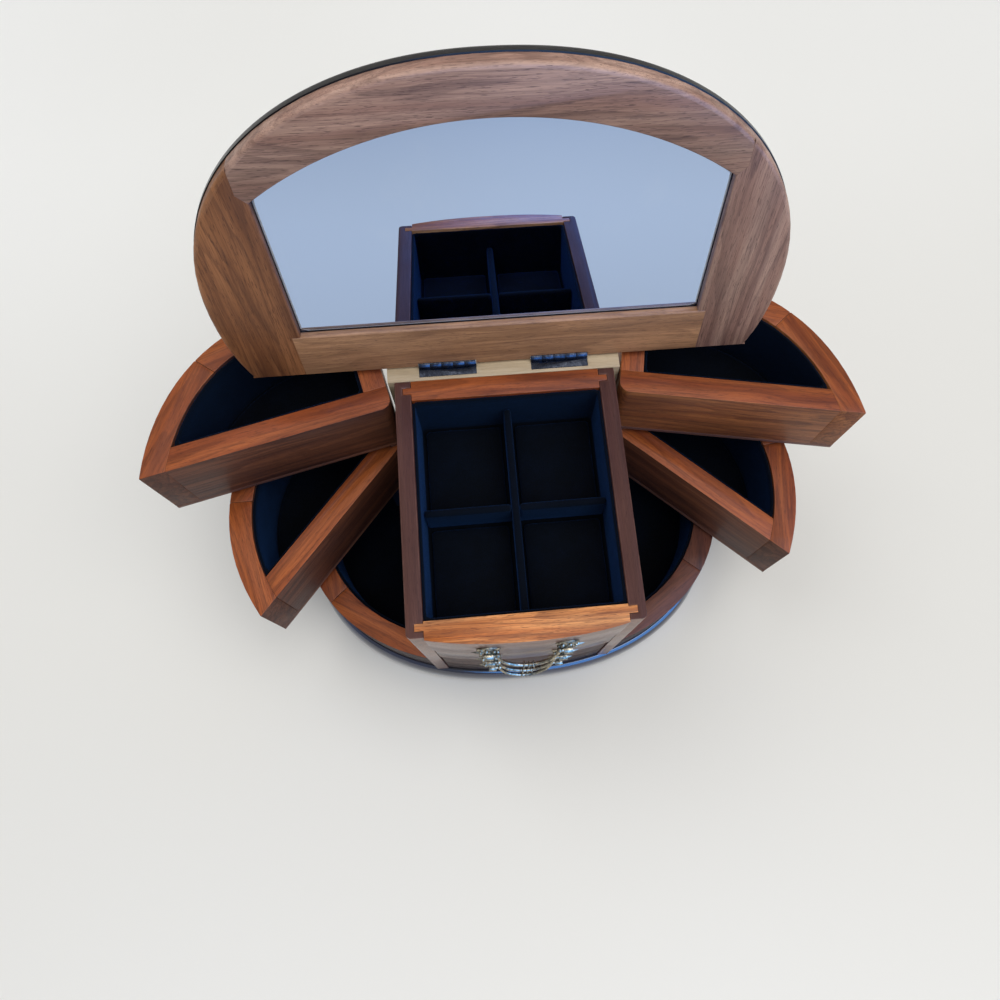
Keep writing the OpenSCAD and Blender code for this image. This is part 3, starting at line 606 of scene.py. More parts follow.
@dataclass(frozen=True)
class Metal(Finish):
    """Metal with tarnish."""

    metal: Colour
    tarnish: Colour
    amount: float = 0.6

    def paint(self, graph: Graph, shader: bpy.types.Node) -> None:
        """Draw the tarnish on bare metal."""
        place = graph.place()
        skin = effect(graph, Effect.PATINA, {"Vector": place, "Metal": self.metal, "Tarnish": self.tarnish,
                                             "Amount": self.amount})
        graph.feed(shader, {"Base Color": skin.outputs["Color"],
                            "Roughness": skin.outputs["Roughness"], "Metallic": 1.0})
        self.bump(graph, shader, skin.outputs["Height"], 0.00008, 0.3)


@dataclass(frozen=True)
class Silvered(Finish):
    """Silvered mirror glass with the faintest haze."""

    colour: Colour

    def paint(self, graph: Graph, shader: bpy.types.Node) -> None:
        """Set a clear mirror and haze it slightly."""
        place = graph.place()
        haze = graph.ramp(graph.noise(place, 26.0, 5.0, 0.6), 0.55, 0.85)
        tint = graph.mix(graph.times(haze, 0.12), self.colour, (0.72, 0.76, 0.80, 1))
        graph.feed(shader, {"Base Color": tint, "Roughness": graph.times(haze, 0.03),
                            "Metallic": 1.0})


@dataclass(frozen=True)
class Board(Finish):
    """Plain unvarnished board or card with a faint grain on the object's own X."""

    light: Colour
    dark: Colour

    def paint(self, graph: Graph, shader: bpy.types.Node) -> None:
        """Draw a faint straight grain."""
        place = graph.place()
        grain = graph.noise(graph.stretched(place, (22, 700, 700)), 1.0, 4.0, 0.6)
        graph.feed(shader, {"Base Color": graph.mix(graph.ramp(grain, 0.3, 0.75), self.light, self.dark),
                            "Roughness": graph.maths("MULTIPLY_ADD", grain, 0.3)})
        shader.inputs["Roughness"].links[0].from_node.inputs[2].default_value = 0.45
        self.bump(graph, shader, grain, 0.0001, 0.3)


RIM = Wood("mahogany_rim", srgb(172, 92, 42), srgb(140, 68, 30), srgb(66, 27, 10), 10.0, 0.40, 0.5,
           0.36, 0.08, 0.3, srgb(186, 114, 70), 0.2, 0.2)
SHADED_RIM = Wood("shaded_rim", srgb(116, 66, 44), srgb(92, 50, 34), srgb(46, 22, 14), 10.0, 0.40, 0.5,
                  0.36, 0.06, 0.3, srgb(150, 98, 74), 0.2, 0.2)
# Top rail: a lighter, more orange copy of the rim mahogany; the extra lightness is painted highlight.
HIGHLIGHT_RAIL = Wood("front_rail_painted_highlight", srgb(240, 164, 98), srgb(192, 108, 48), srgb(88, 38, 14), 13.0, 0.55, 0.6,
            0.30, 0.08, 0.3, srgb(240, 176, 118), 0.2, 0.2)
# Forward faces of the cheeks and the top rail: a greyer mahogany than their tops. The grey is painted
# reflection of the floor, on top of the coat's real reflection.
GLAZED_PAINTED_REFLECTION = Wood("glazed_front_painted_reflection", srgb(148, 108, 88), srgb(124, 88, 72), srgb(58, 36, 28), 12.0, 0.25, 0.3,
              0.22, 0.3, 0.25, srgb(160, 122, 104), 0.10, 0.45)
# A darker copy of the rim mahogany for the trays' upright faces: painted shade, as if the sides were lit
# less than the tops. The pivot blocks are made wholly of it.
FACE = Wood("mahogany_face", srgb(116, 70, 45), srgb(88, 50, 31), srgb(42, 21, 12), 9.0, 0.45, 0.5,
            0.42, 0.08, 0.4, srgb(132, 84, 58), 0.2, 0.2)
LIT_FACE = Wood("lit_face", srgb(170, 106, 58), srgb(138, 80, 42), srgb(62, 30, 14), 11.0, 0.5, 0.5,
                0.42, 0.06, 0.4, srgb(176, 116, 74), 0.2, 0.2)
CHEEK = Wood("dark_cheek", srgb(94, 61, 52), srgb(80, 50, 43), srgb(50, 30, 26), 5.0, 0.18, 0.35,
             0.42, 0.0, 0.35, srgb(122, 88, 76), 0.2, 0.12)
FRONT = Wood("drawer_fascia", srgb(128, 92, 74), srgb(104, 72, 58), srgb(48, 30, 24), 10.0, 0.25, 0.3,
             0.22, 0.3, 0.25, srgb(146, 110, 92), 0.10, 0.4)
# Lower drawer front: a much darker copy of the fascia wood, as painted shade.
SHADE_LOW_FRONT = Wood("low_fascia_painted_shade", srgb(92, 60, 48), srgb(70, 45, 36), srgb(34, 21, 17), 9.0, 0.4, 0.4,
                 0.34, 0.06, 0.25, srgb(110, 78, 64), 0.2, 0.14)
# Upright faces of the base walls and back walls, and the whole base front: a very dark copy of the
# mahogany, as painted shade.
SHADE_SKIRT = Wood("dark_skirt_painted_shade", srgb(62, 38, 32), srgb(46, 28, 25), srgb(22, 13, 12), 9.0, 0.4, 0.4,
                 0.36, 0.05, 0.25, srgb(84, 56, 48), 0.2, 0.12)
WALNUT = Wood("walnut_frame", srgb(168, 112, 70), srgb(136, 86, 50), srgb(74, 41, 23), 9.0, 0.45, 0.6,
              0.36, 0.08, 0.3, srgb(176, 128, 94), 0.2, 0.22)
# Lid's top rail and right stile: a paler, greyer copy of the walnut; the silvery tone is painted
# reflection.
GLARE_WALNUT = Wood("walnut_painted_reflection", srgb(190, 154, 136), srgb(156, 118, 102), srgb(84, 56, 46),
                     9.0, 0.45, 0.6, 0.34, 0.14, 0.3, srgb(196, 162, 146), 0.2, 0.3)
PALE_WALNUT = Wood("pale_walnut", srgb(196, 148, 108), srgb(166, 122, 86), srgb(98, 64, 42), 8.0, 0.35, 0.5,
                   0.36, 0.08, 0.3, srgb(200, 156, 120), 0.2, 0.25)
CREAM = Wood("cream_board", srgb(205, 187, 156), srgb(190, 170, 138), srgb(150, 126, 94), 7.0, 0.22, 0.2,
             0.45, 0.05, 0.2, srgb(214, 200, 174))
INSIDE = Wood("inside_board", srgb(128, 82, 54), srgb(104, 64, 42), srgb(56, 30, 19), 8.0, 0.4, 0.5,
              0.45, 0.05, 0.3, srgb(138, 96, 68))
# Plinth: near-black lacquer coloured navy blue; the blue is painted reflection of blue light.
PLINTH = Lacquer("plinth_lacquer_painted_reflection", srgb(9, 18, 44), srgb(16, 34, 78), 0.14, 1.0, 0.6)
SKIRT = Lacquer("skirt_lacquer", srgb(14, 15, 26), srgb(26, 28, 44), 0.34, 0.06, 0.12)
PANEL = Lacquer("lid_lacquer", srgb(14, 10, 9), srgb(24, 16, 13), 0.30, 0.15, 0.2)
NAVY = Velvet("navy_velvet", srgb(0, 1, 3), srgb(2, 6, 17), 0.22)
FELT = Velvet("plinth_felt", srgb(10, 12, 20), srgb(24, 28, 40), 0.2)
BRASS = Metal("antique_brass", srgb(178, 168, 146), srgb(30, 32, 28), 0.85)
BLACKED = Metal("blacked_steel", srgb(62, 66, 76), srgb(18, 19, 23), 0.7)
STEEL = Metal("rod_steel", srgb(170, 172, 176), srgb(96, 96, 98), 0.5)
# The silver is tinted blue, so all it reflects reads blue: painted reflection colour.
MIRROR = Silvered("mirror_silver_painted_reflection", srgb(176, 196, 228))
GROUND = Board("ground_glass_edge", srgb(236, 242, 246), srgb(206, 218, 228))
CARD = Board("mirror_card_grey", srgb(96, 84, 72), srgb(70, 60, 50))


# ---------------------------------------------------------------- mesh building


def link(mesh: bpy.types.Mesh, name: str) -> bpy.types.Object:
    """Make an object for a mesh and put it in the scene."""
    piece = bpy.data.objects.new(name, mesh)
    bpy.context.scene.collection.objects.link(piece)
    return piece


def bake_modifiers(piece: bpy.types.Object) -> None:
    """Turn an object's modifiers into its mesh and remove them."""
    graph = bpy.context.evaluated_depsgraph_get()
    mesh = bpy.data.meshes.new_from_object(piece.evaluated_get(graph), preserve_all_data_layers=True,
                                           depsgraph=graph)
    piece.modifiers.clear()
    piece.data = mesh


def smooth_by_angle(mesh: bpy.types.Mesh, degrees: float) -> None:
    """Shade faces smooth and keep the edges that turn by more than an angle sharp."""
    mesh.polygons.foreach_set("use_smooth", [True] * len(mesh.polygons))
    build = bmesh.new()
    build.from_mesh(mesh)
    limit = math.radians(degrees)
    for edge in build.edges:
        edge.smooth = len(edge.link_faces) == 2 and edge.calc_face_angle(0.0) < limit
    build.to_mesh(mesh)
    build.free()


def set_material(piece: bpy.types.Object, finish: Finish) -> None:
    """Give an object one material."""
    piece.data.materials.clear()
    piece.data.materials.append(finish.material())


GrainMap = Callable[[Vector], Vector]
BEVEL_ANGLE = math.radians(28)
FLAT_ANGLE = math.radians(0.6)
WELD = 0.002 * MM
ACROSS_SHIFT, THICK_SHIFT = 0.37, 0.21
BACK_SEGMENT_SHIFT = 1.7


def write_grain(mesh: bpy.types.Mesh, grain: GrainMap) -> None:
    """Store where each vertex lies in its board, with X along the grain."""
    layer = mesh.attributes.new("grain", "FLOAT_VECTOR", "POINT")
    values = [c for v in mesh.vertices for c in grain(v.co)]
    layer.data.foreach_set("vector", values)


def board_grain(axes: str, offset: float, placement: Placement = Placement()) -> GrainMap:
    """Make the grain map of a straight board.

    Args:
        axes: The closed drawing's axes in the order along, across, thick, such as "YXZ".
        offset: A shift along the board, so that no two boards show the same figure.
        placement: Where the piece stands.

    Returns:
        A function from a point at rest to the board's own frame.
    """
    order = ["XYZ".index(a) for a in axes]
    inverse = placement.matrix.inverted()

    def grain(point: Vector) -> Vector:
        """Give a point's place in the board."""
        p = inverse @ point
        return Vector((p[order[0]] + offset, p[order[1]] + offset * ACROSS_SHIFT,
                       p[order[2]] + offset * THICK_SHIFT))
    return grain


def sawn_grain(offset: float, placement: Placement = Placement()) -> GrainMap:
    """Make the grain map of a curved wall sawn from two straight boards that meet at the slanted joint."""
    inverse = placement.matrix.inverted()
    slant = Vector((-math.sin(SIZES.joint_angle), math.cos(SIZES.joint_angle)))

    def grain(point: Vector) -> Vector:
        """Give a point's place in the board that it was sawn from."""
        p = inverse @ point
        is_back = slant.dot(Vector((p.x, p.y - SIZES.rear_y))) > 0.025 * MM
        turn = SIZES.back_board_turn if is_back else SIZES.front_board_turn
        shift = offset + (BACK_SEGMENT_SHIFT if is_back else 0.0)
        along = p.x * math.cos(turn) + p.y * math.sin(turn)
        across = p.y * math.cos(turn) - p.x * math.sin(turn)
        return Vector((along + shift, across + shift * ACROSS_SHIFT, p.z + shift * THICK_SHIFT))
    return grain


EdgeShare = Callable[[Vector], float]


def carve(node: str, name: str, round_off: float, segments: int = 2,
          share: Optional[EdgeShare] = None) -> bpy.types.Object:
    """Copy a construction node as one clean mesh with rounded edges.

    Args:
        node: The construction node.
        name: The new piece's name.
        round_off: Width of the rounding along the edges, in metres.
        segments: Faces across the rounding.
        share: Gives the part of the rounding that an edge takes, from its middle.

    Returns:
        The new piece, with the rounded faces marked in its edge attribute.
    """
    build = bmesh.new()
    build.from_mesh(frame["nodes"][node].data)
    bmesh.ops.remove_doubles(build, verts=build.verts, dist=WELD)
    bmesh.ops.dissolve_limit(build, angle_limit=FLAT_ANGLE, verts=build.verts, edges=build.edges)
    if share:
        weight = build.edges.layers.float.new("bevel_weight_edge")
        for edge in build.edges:
            if len(edge.link_faces) == 2 and edge.calc_face_angle(0.0) > BEVEL_ANGLE:
                edge[weight] = share((edge.verts[0].co + edge.verts[1].co) / 2)
    mesh = bpy.data.meshes.new(name)
    build.to_mesh(mesh)
    build.free()
    mesh.materials.append(None)
    mesh.materials.append(None)
    for layer in list(mesh.uv_layers):
        mesh.uv_layers.remove(layer)
    piece = link(mesh, name)
    bevel = piece.modifiers.new("round_off", "BEVEL")
    bevel.width = round_off
    bevel.segments = segments
    bevel.limit_method = "WEIGHT" if share else "ANGLE"
    bevel.angle_limit = BEVEL_ANGLE
    bevel.material = 1
    bevel.use_clamp_overlap = True
    bake_modifiers(piece)
    mesh = piece.data
    edge = mesh.attributes.new("edge", "FLOAT", "FACE")
    edge.data.foreach_set("value", [float(p.material_index) for p in mesh.polygons])
    mesh.polygons.foreach_set("material_index", [0] * len(mesh.polygons))
    mesh.materials.clear()
    smooth_by_angle(mesh, 35)
    return piece


def finish_piece(piece: bpy.types.Object, body: str, finish: Finish,
                 nodes: Sequence[str] = ()) -> None:
    """Dress a finished piece and fix it to its body.

    Args:
        piece: The finished object, in place.
        body: The construction body that it moves with.
        finish: The finish to wear.
        nodes: Construction nodes that it stands for.
    """
    set_material(piece, finish)
    if nodes:
        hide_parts(*nodes)
    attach(piece, body)
    LOG.info("%s on %s, %d faces", piece.name, body, len(piece.data.polygons))


THIN_ROUND = 0.3 * MM


def wooden(node: str, body: str, finish: Finish, grain: GrainMap, round_off: float = 0.45 * MM,
           share: Optional[EdgeShare] = None) -> bpy.types.Object:
    """Make one wooden piece from its construction node."""
    piece = carve(node, node + "_wood", round_off, 3 if share else 2, share)
    write_grain(piece.data, grain)
    finish_piece(piece, body, finish, (node,))
    return piece


def face_finish(piece: bpy.types.Object, finish: Finish, picks: Callable[[Vector], bool]) -> None:
    """Give the faces whose normals a test picks a finish of their own."""
    piece.data.materials.append(finish.material())
    for polygon in piece.data.polygons:
        if picks(polygon.normal):
            polygon.material_index = 1


def is_upright(normal: Vector) -> bool:
    """Say whether a face stands upright."""
    return abs(normal.z) < 0.45


def is_level(normal: Vector) -> bool:
    """Say whether a face lies level."""
    return normal.z > 0.985


def is_forward(normal: Vector) -> bool:
    """Say whether a face looks to the front."""
    return normal.y < -0.6


Region = Callable[[float, float, float], bool]


def trace(region: Region, centre: Point, inset: float, count: int, reach: float) -> list[Point]:
    """Find the outline of a star-shaped region by looking out from its middle.

    Args:
        region: Says whether a point lies inside, at an inset.
        centre: A point inside that sees the whole outline.
        inset: How far the outline is drawn in.
        count: Points on the outline.
        reach: A distance that is past the outline everywhere.

    Returns:
        The outline's points, counter-clockwise.
    """
    points = []
    for k in range(count):
        a = 2 * math.pi * k / count
        low, high = 0.0, reach
        for _ in range(18):
            mid = (low + high) / 2
            if region(centre[0] + mid * math.cos(a), centre[1] + mid * math.sin(a), inset):
                low = mid
            else:
                high = mid
        points.append((centre[0] + low * math.cos(a), centre[1] + low * math.sin(a)))
    return points


def loft(name: str, rows: Sequence[tuple[Sequence[Point], float]], place: Placement) -> bpy.types.Object:
    """Join rows of points into one closed skin.

    Args:
        name: The piece's name.
        rows: Outlines with as many points each, and the height of each.
        place: Where the closed drawing stands.

    Returns:
        The new object.
    """
    build = bmesh.new()
    rings = [[build.verts.new((x, y, z)) for x, y in points] for points, z in rows]
    count = len(rings[0])
    for low, high in zip(rings, rings[1:]):
        for k in range(count):
            n = (k + 1) % count
            build.faces.new((low[k], low[n], high[n], high[k]))
    for ring, turned in ((rings[0], True), (rings[-1], False)):
        hub = build.verts.new(sum((v.co for v in ring), Vector()) / count)
        for k in range(count):
            n = (k + 1) % count
            build.faces.new((ring[n], ring[k], hub) if turned else (ring[k], ring[n], hub))
    build.transform(place.matrix)
    bmesh.ops.recalc_face_normals(build, faces=build.faces)
    mesh = bpy.data.meshes.new(name)
    build.to_mesh(mesh)
    build.free()
    smooth_by_angle(mesh, 40)
    return link(mesh, name)


def soften(piece: bpy.types.Object, size: float, amount: float, seed: float) -> None:
    """Move each vertex along its normal by a slow noise, as glued cloth lies.

    Args:
        piece: The object to soften.
        size: Length of the swells, in metres.
        amount: Height of the swells, in metres.
        seed: Shifts the noise, so that no two pieces are alike.
    """
    mesh = piece.data
    shifts = [v.normal * (amount * noise.noise(v.co / size + Vector((seed, seed * 1.7, seed * 0.3))))
              for v in mesh.vertices]
    for vertex, shift in zip(mesh.vertices, shifts):
        vertex.co += shift


# ---------------------------------------------------------------- geometry nodes


class Maker:
    """Builds a geometry node tree and turns its result into a plain mesh."""

    def __init__(self, name: str, inputs: dict[str, tuple[str, object]]) -> None:
        """Start a tree.

        Args:
            name: The tree's name.
            inputs: Socket type and value by input name.
        """
        self.tree = bpy.data.node_groups.new(name, "GeometryNodeTree")
        self.tree.interface.new_socket(name="Geometry", in_out="INPUT", socket_type=GEOMETRY)
        self.values = inputs
        for key, (kind, value) in inputs.items():
            socket = self.tree.interface.new_socket(name=key, in_out="INPUT", socket_type=kind)
            if kind != MATERIAL:
                socket.default_value = value
        self.tree.interface.new_socket(name="Geometry", in_out="OUTPUT", socket_type=GEOMETRY)
        self.graph = Graph(self.tree)
        source = self.graph.add("NodeGroupInput")
        self.inputs = {s.name: s for s in source.outputs if s.name}

    def make(self, name: str, parts: Sequence[bpy.types.NodeSocket]) -> bpy.types.Object:
        """Join the parts, paint them, run the tree and keep the result as a plain mesh."""
        both = self.graph.add("GeometryNodeJoinGeometry")
        for part in parts:
            self.tree.links.new(part, both.inputs[0])
        real = self.graph.out("GeometryNodeRealizeInstances", {"Geometry": both.outputs[0]})
        painted = self.graph.out("GeometryNodeSetMaterial", {"Geometry": real,
                                                             "Material": self.inputs["Material"]})
        self.tree.links.new(painted, self.graph.add("NodeGroupOutput").inputs[0])
        piece = link(bpy.data.meshes.new(name), name)
        modifier = piece.modifiers.new("make", "NODES")
        modifier.node_group = self.tree
        for item in self.tree.interface.items_tree:
            if item.in_out == "INPUT" and item.name in self.values:
                modifier[item.identifier] = self.values[item.name][1]
        bake_modifiers(piece)
        return piece


def place_mesh(piece: bpy.types.Object, matrix: Matrix) -> None:
    """Move a mesh, not its object, and keep its faces outward."""
    piece.data.transform(matrix)
    if matrix.to_3x3().determinant() < 0:
        piece.data.flip_normals()
    piece.data.update()


def join(pieces: Sequence[bpy.types.Object], name: str) -> bpy.types.Object:
    """Join plain meshes into one object."""
    build = bmesh.new()
    for piece in pieces:
        build.from_mesh(piece.data)
        bpy.data.objects.remove(piece)
    mesh = bpy.data.meshes.new(name)
    build.to_mesh(mesh)
    build.free()
    return link(mesh, name)


# ---------------------------------------------------------------- sub-assemblies


@dataclass
class VelvetLining:
    """The velvet on a hollow's floor and walls, with a padded floor."""

    node: str
    body: str
    region: Region
    centre: Point
    floor_z: float
    rim_z: float
    placement: Placement = field(default_factory=Placement)
    count: int = 150
    reach: float = 150 * MM
    pad_t: float = 1.1 * MM
    seed: float = 1.0
    has_pad: bool = True
    stands_for: bool = True

    def ring(self, inset: float) -> list[Point]:
        """Trace the hollow's outline at an inset."""
        return trace(self.region, self.centre, inset, self.count, self.reach)

    def shrink(self, ring: Sequence[Point], part: float) -> list[Point]:
        """Draw an outline towards the middle to a part of its size."""
        cx, cy = self.centre
        return [(cx + (x - cx) * part, cy + (y - cy) * part) for x, y in ring]

    def build(self) -> bpy.types.Object:
        """Make the skin: up the outside, over the soft top edge, down the wall and over the floor."""
        fit, thick = SIZES.lining_fit, SIZES.lining_t
        lip = thick / 2
        rows = [(self.ring(fit), self.floor_z), (self.ring(fit), self.rim_z - lip)]
        for step in (1, 2, 3, 4):
            a = math.pi * step / 5
            rows.append((self.ring(fit + lip * (1 - math.cos(a))), self.rim_z - lip + lip * math.sin(a)))
        wall = self.ring(fit + thick)
        top, low = self.rim_z - lip, self.floor_z + 0.8 * MM + 1.2 * MM
        levels = 9
        rows += [(wall, top + (low - top) * k / levels) for k in range(levels + 1)]
        for step in (1, 2, 3):
            a = math.pi / 2 * step / 3
            cove = 1.2 * MM
            rows.append((self.ring(fit + thick + cove * (1 - math.cos(a))), low - cove * math.sin(a)))
        last = rows[-1][0]
        rows += [(self.shrink(last, part), self.floor_z + 0.8 * MM)
                 for part in (0.85, 0.66, 0.46, 0.26, 0.1)]
        piece = loft(self.node + "_velvet", rows, self.placement)
        soften(piece, 9 * MM, 0.16 * MM, self.seed)
        return piece

    def build_pad(self) -> bpy.types.Object:
        """Make the thin padded card that lies on the floor, crowned in its middle."""
        side = SIZES.lining_fit + SIZES.lining_t + 0.9 * MM
        base = self.floor_z + 1.0 * MM
        rim = self.ring(side)
        rows = [(self.shrink(rim, 0.5), base), (self.ring(side + 0.7 * MM), base)]
        for step in (0, 1, 2, 3):
            a = -math.pi / 2 + math.pi * (step + 0.5) / 4
            rows.append((self.ring(side + 0.6 * MM * (1 - math.cos(a))),
                         base + self.pad_t * (0.5 + 0.5 * math.sin(a))))
        top = base + self.pad_t
        for part, lift in ((0.95, 0.10), (0.86, 0.22), (0.7, 0.36), (0.5, 0.44), (0.3, 0.48), (0.12, 0.5)):
            rows.append((self.shrink(self.ring(side + 0.6 * MM), part), top + lift * MM))
        piece = loft(self.node + "_pad", rows, self.placement)
        soften(piece, 14 * MM, 0.18 * MM, self.seed + 5)
        return piece

    def dress(self) -> None:
        """Make and finish both pieces."""
        skin = self.build()
        finish_piece(skin, self.body, NAVY, (self.node,) if self.stands_for else ())
        if self.has_pad:
            pad = self.build_pad()
            finish_piece(pad, self.body, NAVY)


@dataclass
class SwingTray:
    """One swing-out tray with its walls, floor and lining."""

    key: str
    side: Side
    seed: float
    # Finish of the walls' upright faces: by default a darker copy of the rim wood, as painted shade.
    upright: Finish = FACE

    @property
    def body(self) -> str:
        """The tray's construction body."""
        return self.key + "_tray"

    @property
    def placement(self) -> Placement:
        """Where the tray stands at rest."""
        return Placement.tray(self.key + "_swing", self.side)

    def hollow(self, x: float, y: float, inset: float) -> bool:
        """Say whether a point lies in the closed left tray's hollow."""
        wall = SIZES.tray_wall + inset
        return (SIZES.plan.inside(x, y, wall) and x <= SIZES.tray_in_x - wall
                and y <= SIZES.tray_rear_y - wall)

    def dress(self) -> None:
        """Make the walls, the floor and the lining."""
        place, shift = self.placement, self.seed
        for wall, slot, grain in (("inner", "mahogany_face", board_grain("YXZ", shift, place)),
                                  ("outer", "mahogany_rim", sawn_grain(shift * 1.3, place)),
                                  ("back", "mahogany_rim", board_grain("XYZ", shift * 0.7, place))):
            piece = wooden(f"{self.key}_{wall}_wall", self.body, RIM, grain)
            # Upright faces get the tray's upright finish: painted shade, and on the upper right tray a
            # lighter copy as painted light.
            face_finish(piece, self.upright, is_upright)
        wooden(self.key + "_floor", self.body, INSIDE, board_grain("YXZ", shift, place),
               THIN_ROUND)
        low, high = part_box(self.key + "_lining")
        VelvetLining(self.key + "_lining", self.body, self.hollow, (-95 * MM, 8 * MM), low.z, high.z, place,
                     seed=self.seed * 10).dress()


@dataclass
class BaseLevel:
    """The fixed base: curved walls, back walls, blocks, front, linings, plinth and felt."""

    body: str = "root"

    def hollow(self, x: float, y: float, inset: float) -> bool:
        """Say whether a point lies in the left compartment's hollow."""
        s = SIZES
        edge = s.rear_y - s.base_back_t
        in_block = x >= -s.column_w / 2 - s.block_out - inset and y >= edge - s.block_d - inset
        return (s.plan.inside(x, y, s.base_in + s.base_wall + inset) and x <= -s.column_w / 2 - inset
                and y <= edge - inset and not in_block)

    def dress_plinth(self) -> None:
        """Make the plinth board with its rolled edge, and the felt."""
        low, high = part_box("plinth")
        out, rear = SIZES.plinth_out, SIZES.rear_y
        plan = SIZES.plan
        roll = [math.pi / 2 * k / 14 for k in range(15)]
        profile = [(-0.6, 0.0), (-0.92, 0.03), (-1.0, 0.08)]
        profile += [(0.42 - 1.42 * math.cos(a), 0.42 + 0.58 * math.sin(a)) for a in roll] + [(1.4, 1.0)]

        def region(x: float, y: float, inset: float) -> bool:
            """Say whether a point lies in the plinth's outline."""
            return plan.level(x, y, inset) <= 1 and y <= rear - max(0.0, inset + out)
        rows = [(trace(region, (0.0, 10 * MM), part * out, 260, 0.25), low.z + (high.z - low.z) * up)
                for part, up in profile]
        plinth = loft("plinth_moulding", rows, Placement())
        finish_piece(plinth, self.body, PLINTH, ("plinth",))
        face_finish(plinth, SKIRT, is_level)
        flow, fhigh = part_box("felt_pad")

        def pad(x: float, y: float, inset: float) -> bool:
            """Say whether a point lies in the felt's outline."""
            return plan.level(x, y, 5 * MM + inset) <= 1 and y <= rear - 5 * MM - inset
        turn = 0.3 * MM
        rows = [(trace(pad, (0.0, 10 * MM), i, 160, 0.25), z) for i, z in
                ((turn, flow.z), (0.0, flow.z + turn), (0.0, fhigh.z - turn), (turn, fhigh.z))]
        felt = loft("plinth_felt_pad", rows, Placement())
        finish_piece(felt, self.body, FELT, ("felt_pad",))

    def dress(self) -> None:
        """Make the base level's pieces."""
        # The right wall's top is a shaded copy of the rim wood, and the upright faces and the base front
        # are very dark: painted shade.
        for side, node, shift, finish in ((Side.LEFT, "base_wall_left", 3.1, RIM),
                                          (Side.RIGHT, "base_wall_right", 4.7, SHADED_RIM)):
            grain = sawn_grain(shift, Placement.mirrored(side))
            wall = wooden(node, self.body, finish, grain)
            face_finish(wall, SHADE_SKIRT, is_upright)
        back = wooden("base_back_walls", self.body, RIM, board_grain("XYZ", 5.3))
        face_finish(back, SHADE_SKIRT, is_upright)
        wooden("pivot_blocks", self.body, FACE, board_grain("ZXY", 6.1))
        wooden("base_front", self.body, SHADE_SKIRT, board_grain("XYZ", 7.7))
        low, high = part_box("base_lining")
        for side, first in ((Side.LEFT, True), (Side.RIGHT, False)):
            lining = VelvetLining("base_lining", self.body, self.hollow, (-82 * MM, 0.0), low.z, high.z,
                                  Placement.mirrored(side), seed=70.0 + side.value, stands_for=first)
            lining.dress()
        self.dress_plinth()


@dataclass
class Column:
    """The fixed middle: cheeks, back board, top compartment with dividers, shelf, and its velvet."""

    body: str = "root"

    def bay(self, x: float, y: float, inset: float) -> bool:
        """Say whether a point lies between the cheeks in the top compartment."""
        s = SIZES
        return (abs(x) <= s.bay_half - inset and s.front_t - s.rear_y + inset <= y
                <= s.column_back - s.back_rail_t - inset)

    def dress_compartment_pads(self) -> None:
        """Make the four padded squares between the dividers."""
        low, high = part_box("dividers")
        mid_y = (low.y + high.y) / 2
        half_t = 2.0 * MM
        gap = 2.0 * MM
        for nx, side in enumerate((-1, 1)):
            for ny, end in enumerate((-1, 1)):
                cx = side * (half_t + high.x) / 2
                cy = mid_y + end * (half_t + (high.y - mid_y)) / 2
                hx = (high.x - half_t) / 2 - gap
                hy = (high.y - mid_y - half_t) / 2 - gap

                def square(x: float, y: float, inset: float, cx=cx, cy=cy, hx=hx, hy=hy) -> bool:
                    """Say whether a point lies in one compartment."""
                    return abs(x - cx) <= hx - inset and abs(y - cy) <= hy - inset
                base = low.z + 0.1 * MM
                outline = [trace(square, (cx, cy), i * MM, 96, 0.08)
                           for i in (0.9, 0.25, 0.0, 0.3, 1.1, 2.6)]
                rows = list(zip(outline, [base + h * MM for h in (0.0, 0.15, 0.7, 1.35, 1.75, 1.95)]))
                for part, lift in ((0.8, 2.2), (0.6, 2.4), (0.4, 2.5), (0.2, 2.55)):
                    rows.append(([(cx + (x - cx) * part, cy + (y - cy) * part) for x, y in outline[-1]],
                                 base + lift * MM))
                pad = loft(f"top_pad_{nx}{ny}", rows, Placement())
                soften(pad, 12 * MM, 0.25 * MM, 3.0 + nx + 2 * ny)
                finish_piece(pad, self.body, NAVY)

    def dress(self) -> None:
        """Make the column's pieces."""
        # Forward faces of the cheeks and the rail get a greyer wood as painted reflection; the rail's top
        # has a lighter wood with painted highlight.
        cheeks = wooden("cheeks", self.body, CHEEK, board_grain("YXZ", 9.0), 0.7 * MM)
        face_finish(cheeks, GLAZED_PAINTED_REFLECTION, is_forward)
        wooden("back_board", self.body, CREAM, board_grain("XYZ", 11.0))
        front = wooden("top_front", self.body, HIGHLIGHT_RAIL, board_grain("XYZ", 12.3))
        face_finish(front, GLAZED_PAINTED_REFLECTION, is_forward)
        wooden("back_rail", self.body, RIM, board_grain("XYZ", 13.9))
        wooden("column_boards", self.body, INSIDE, board_grain("XYZ", 15.0), 0.2 * MM)
        low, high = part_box("top_lining")
        VelvetLining("top_lining", self.body, self.bay, (0.0, -3 * MM), low.z, high.z, count=220, seed=2.0,
                     has_pad=False).dress()
        cross = carve("dividers", "divider_velvet", 1.7 * MM, 4)
        soften(cross, 8 * MM, 0.1 * MM, 4.0)
        finish_piece(cross, self.body, NAVY, ("dividers",))
        self.dress_compartment_pads()


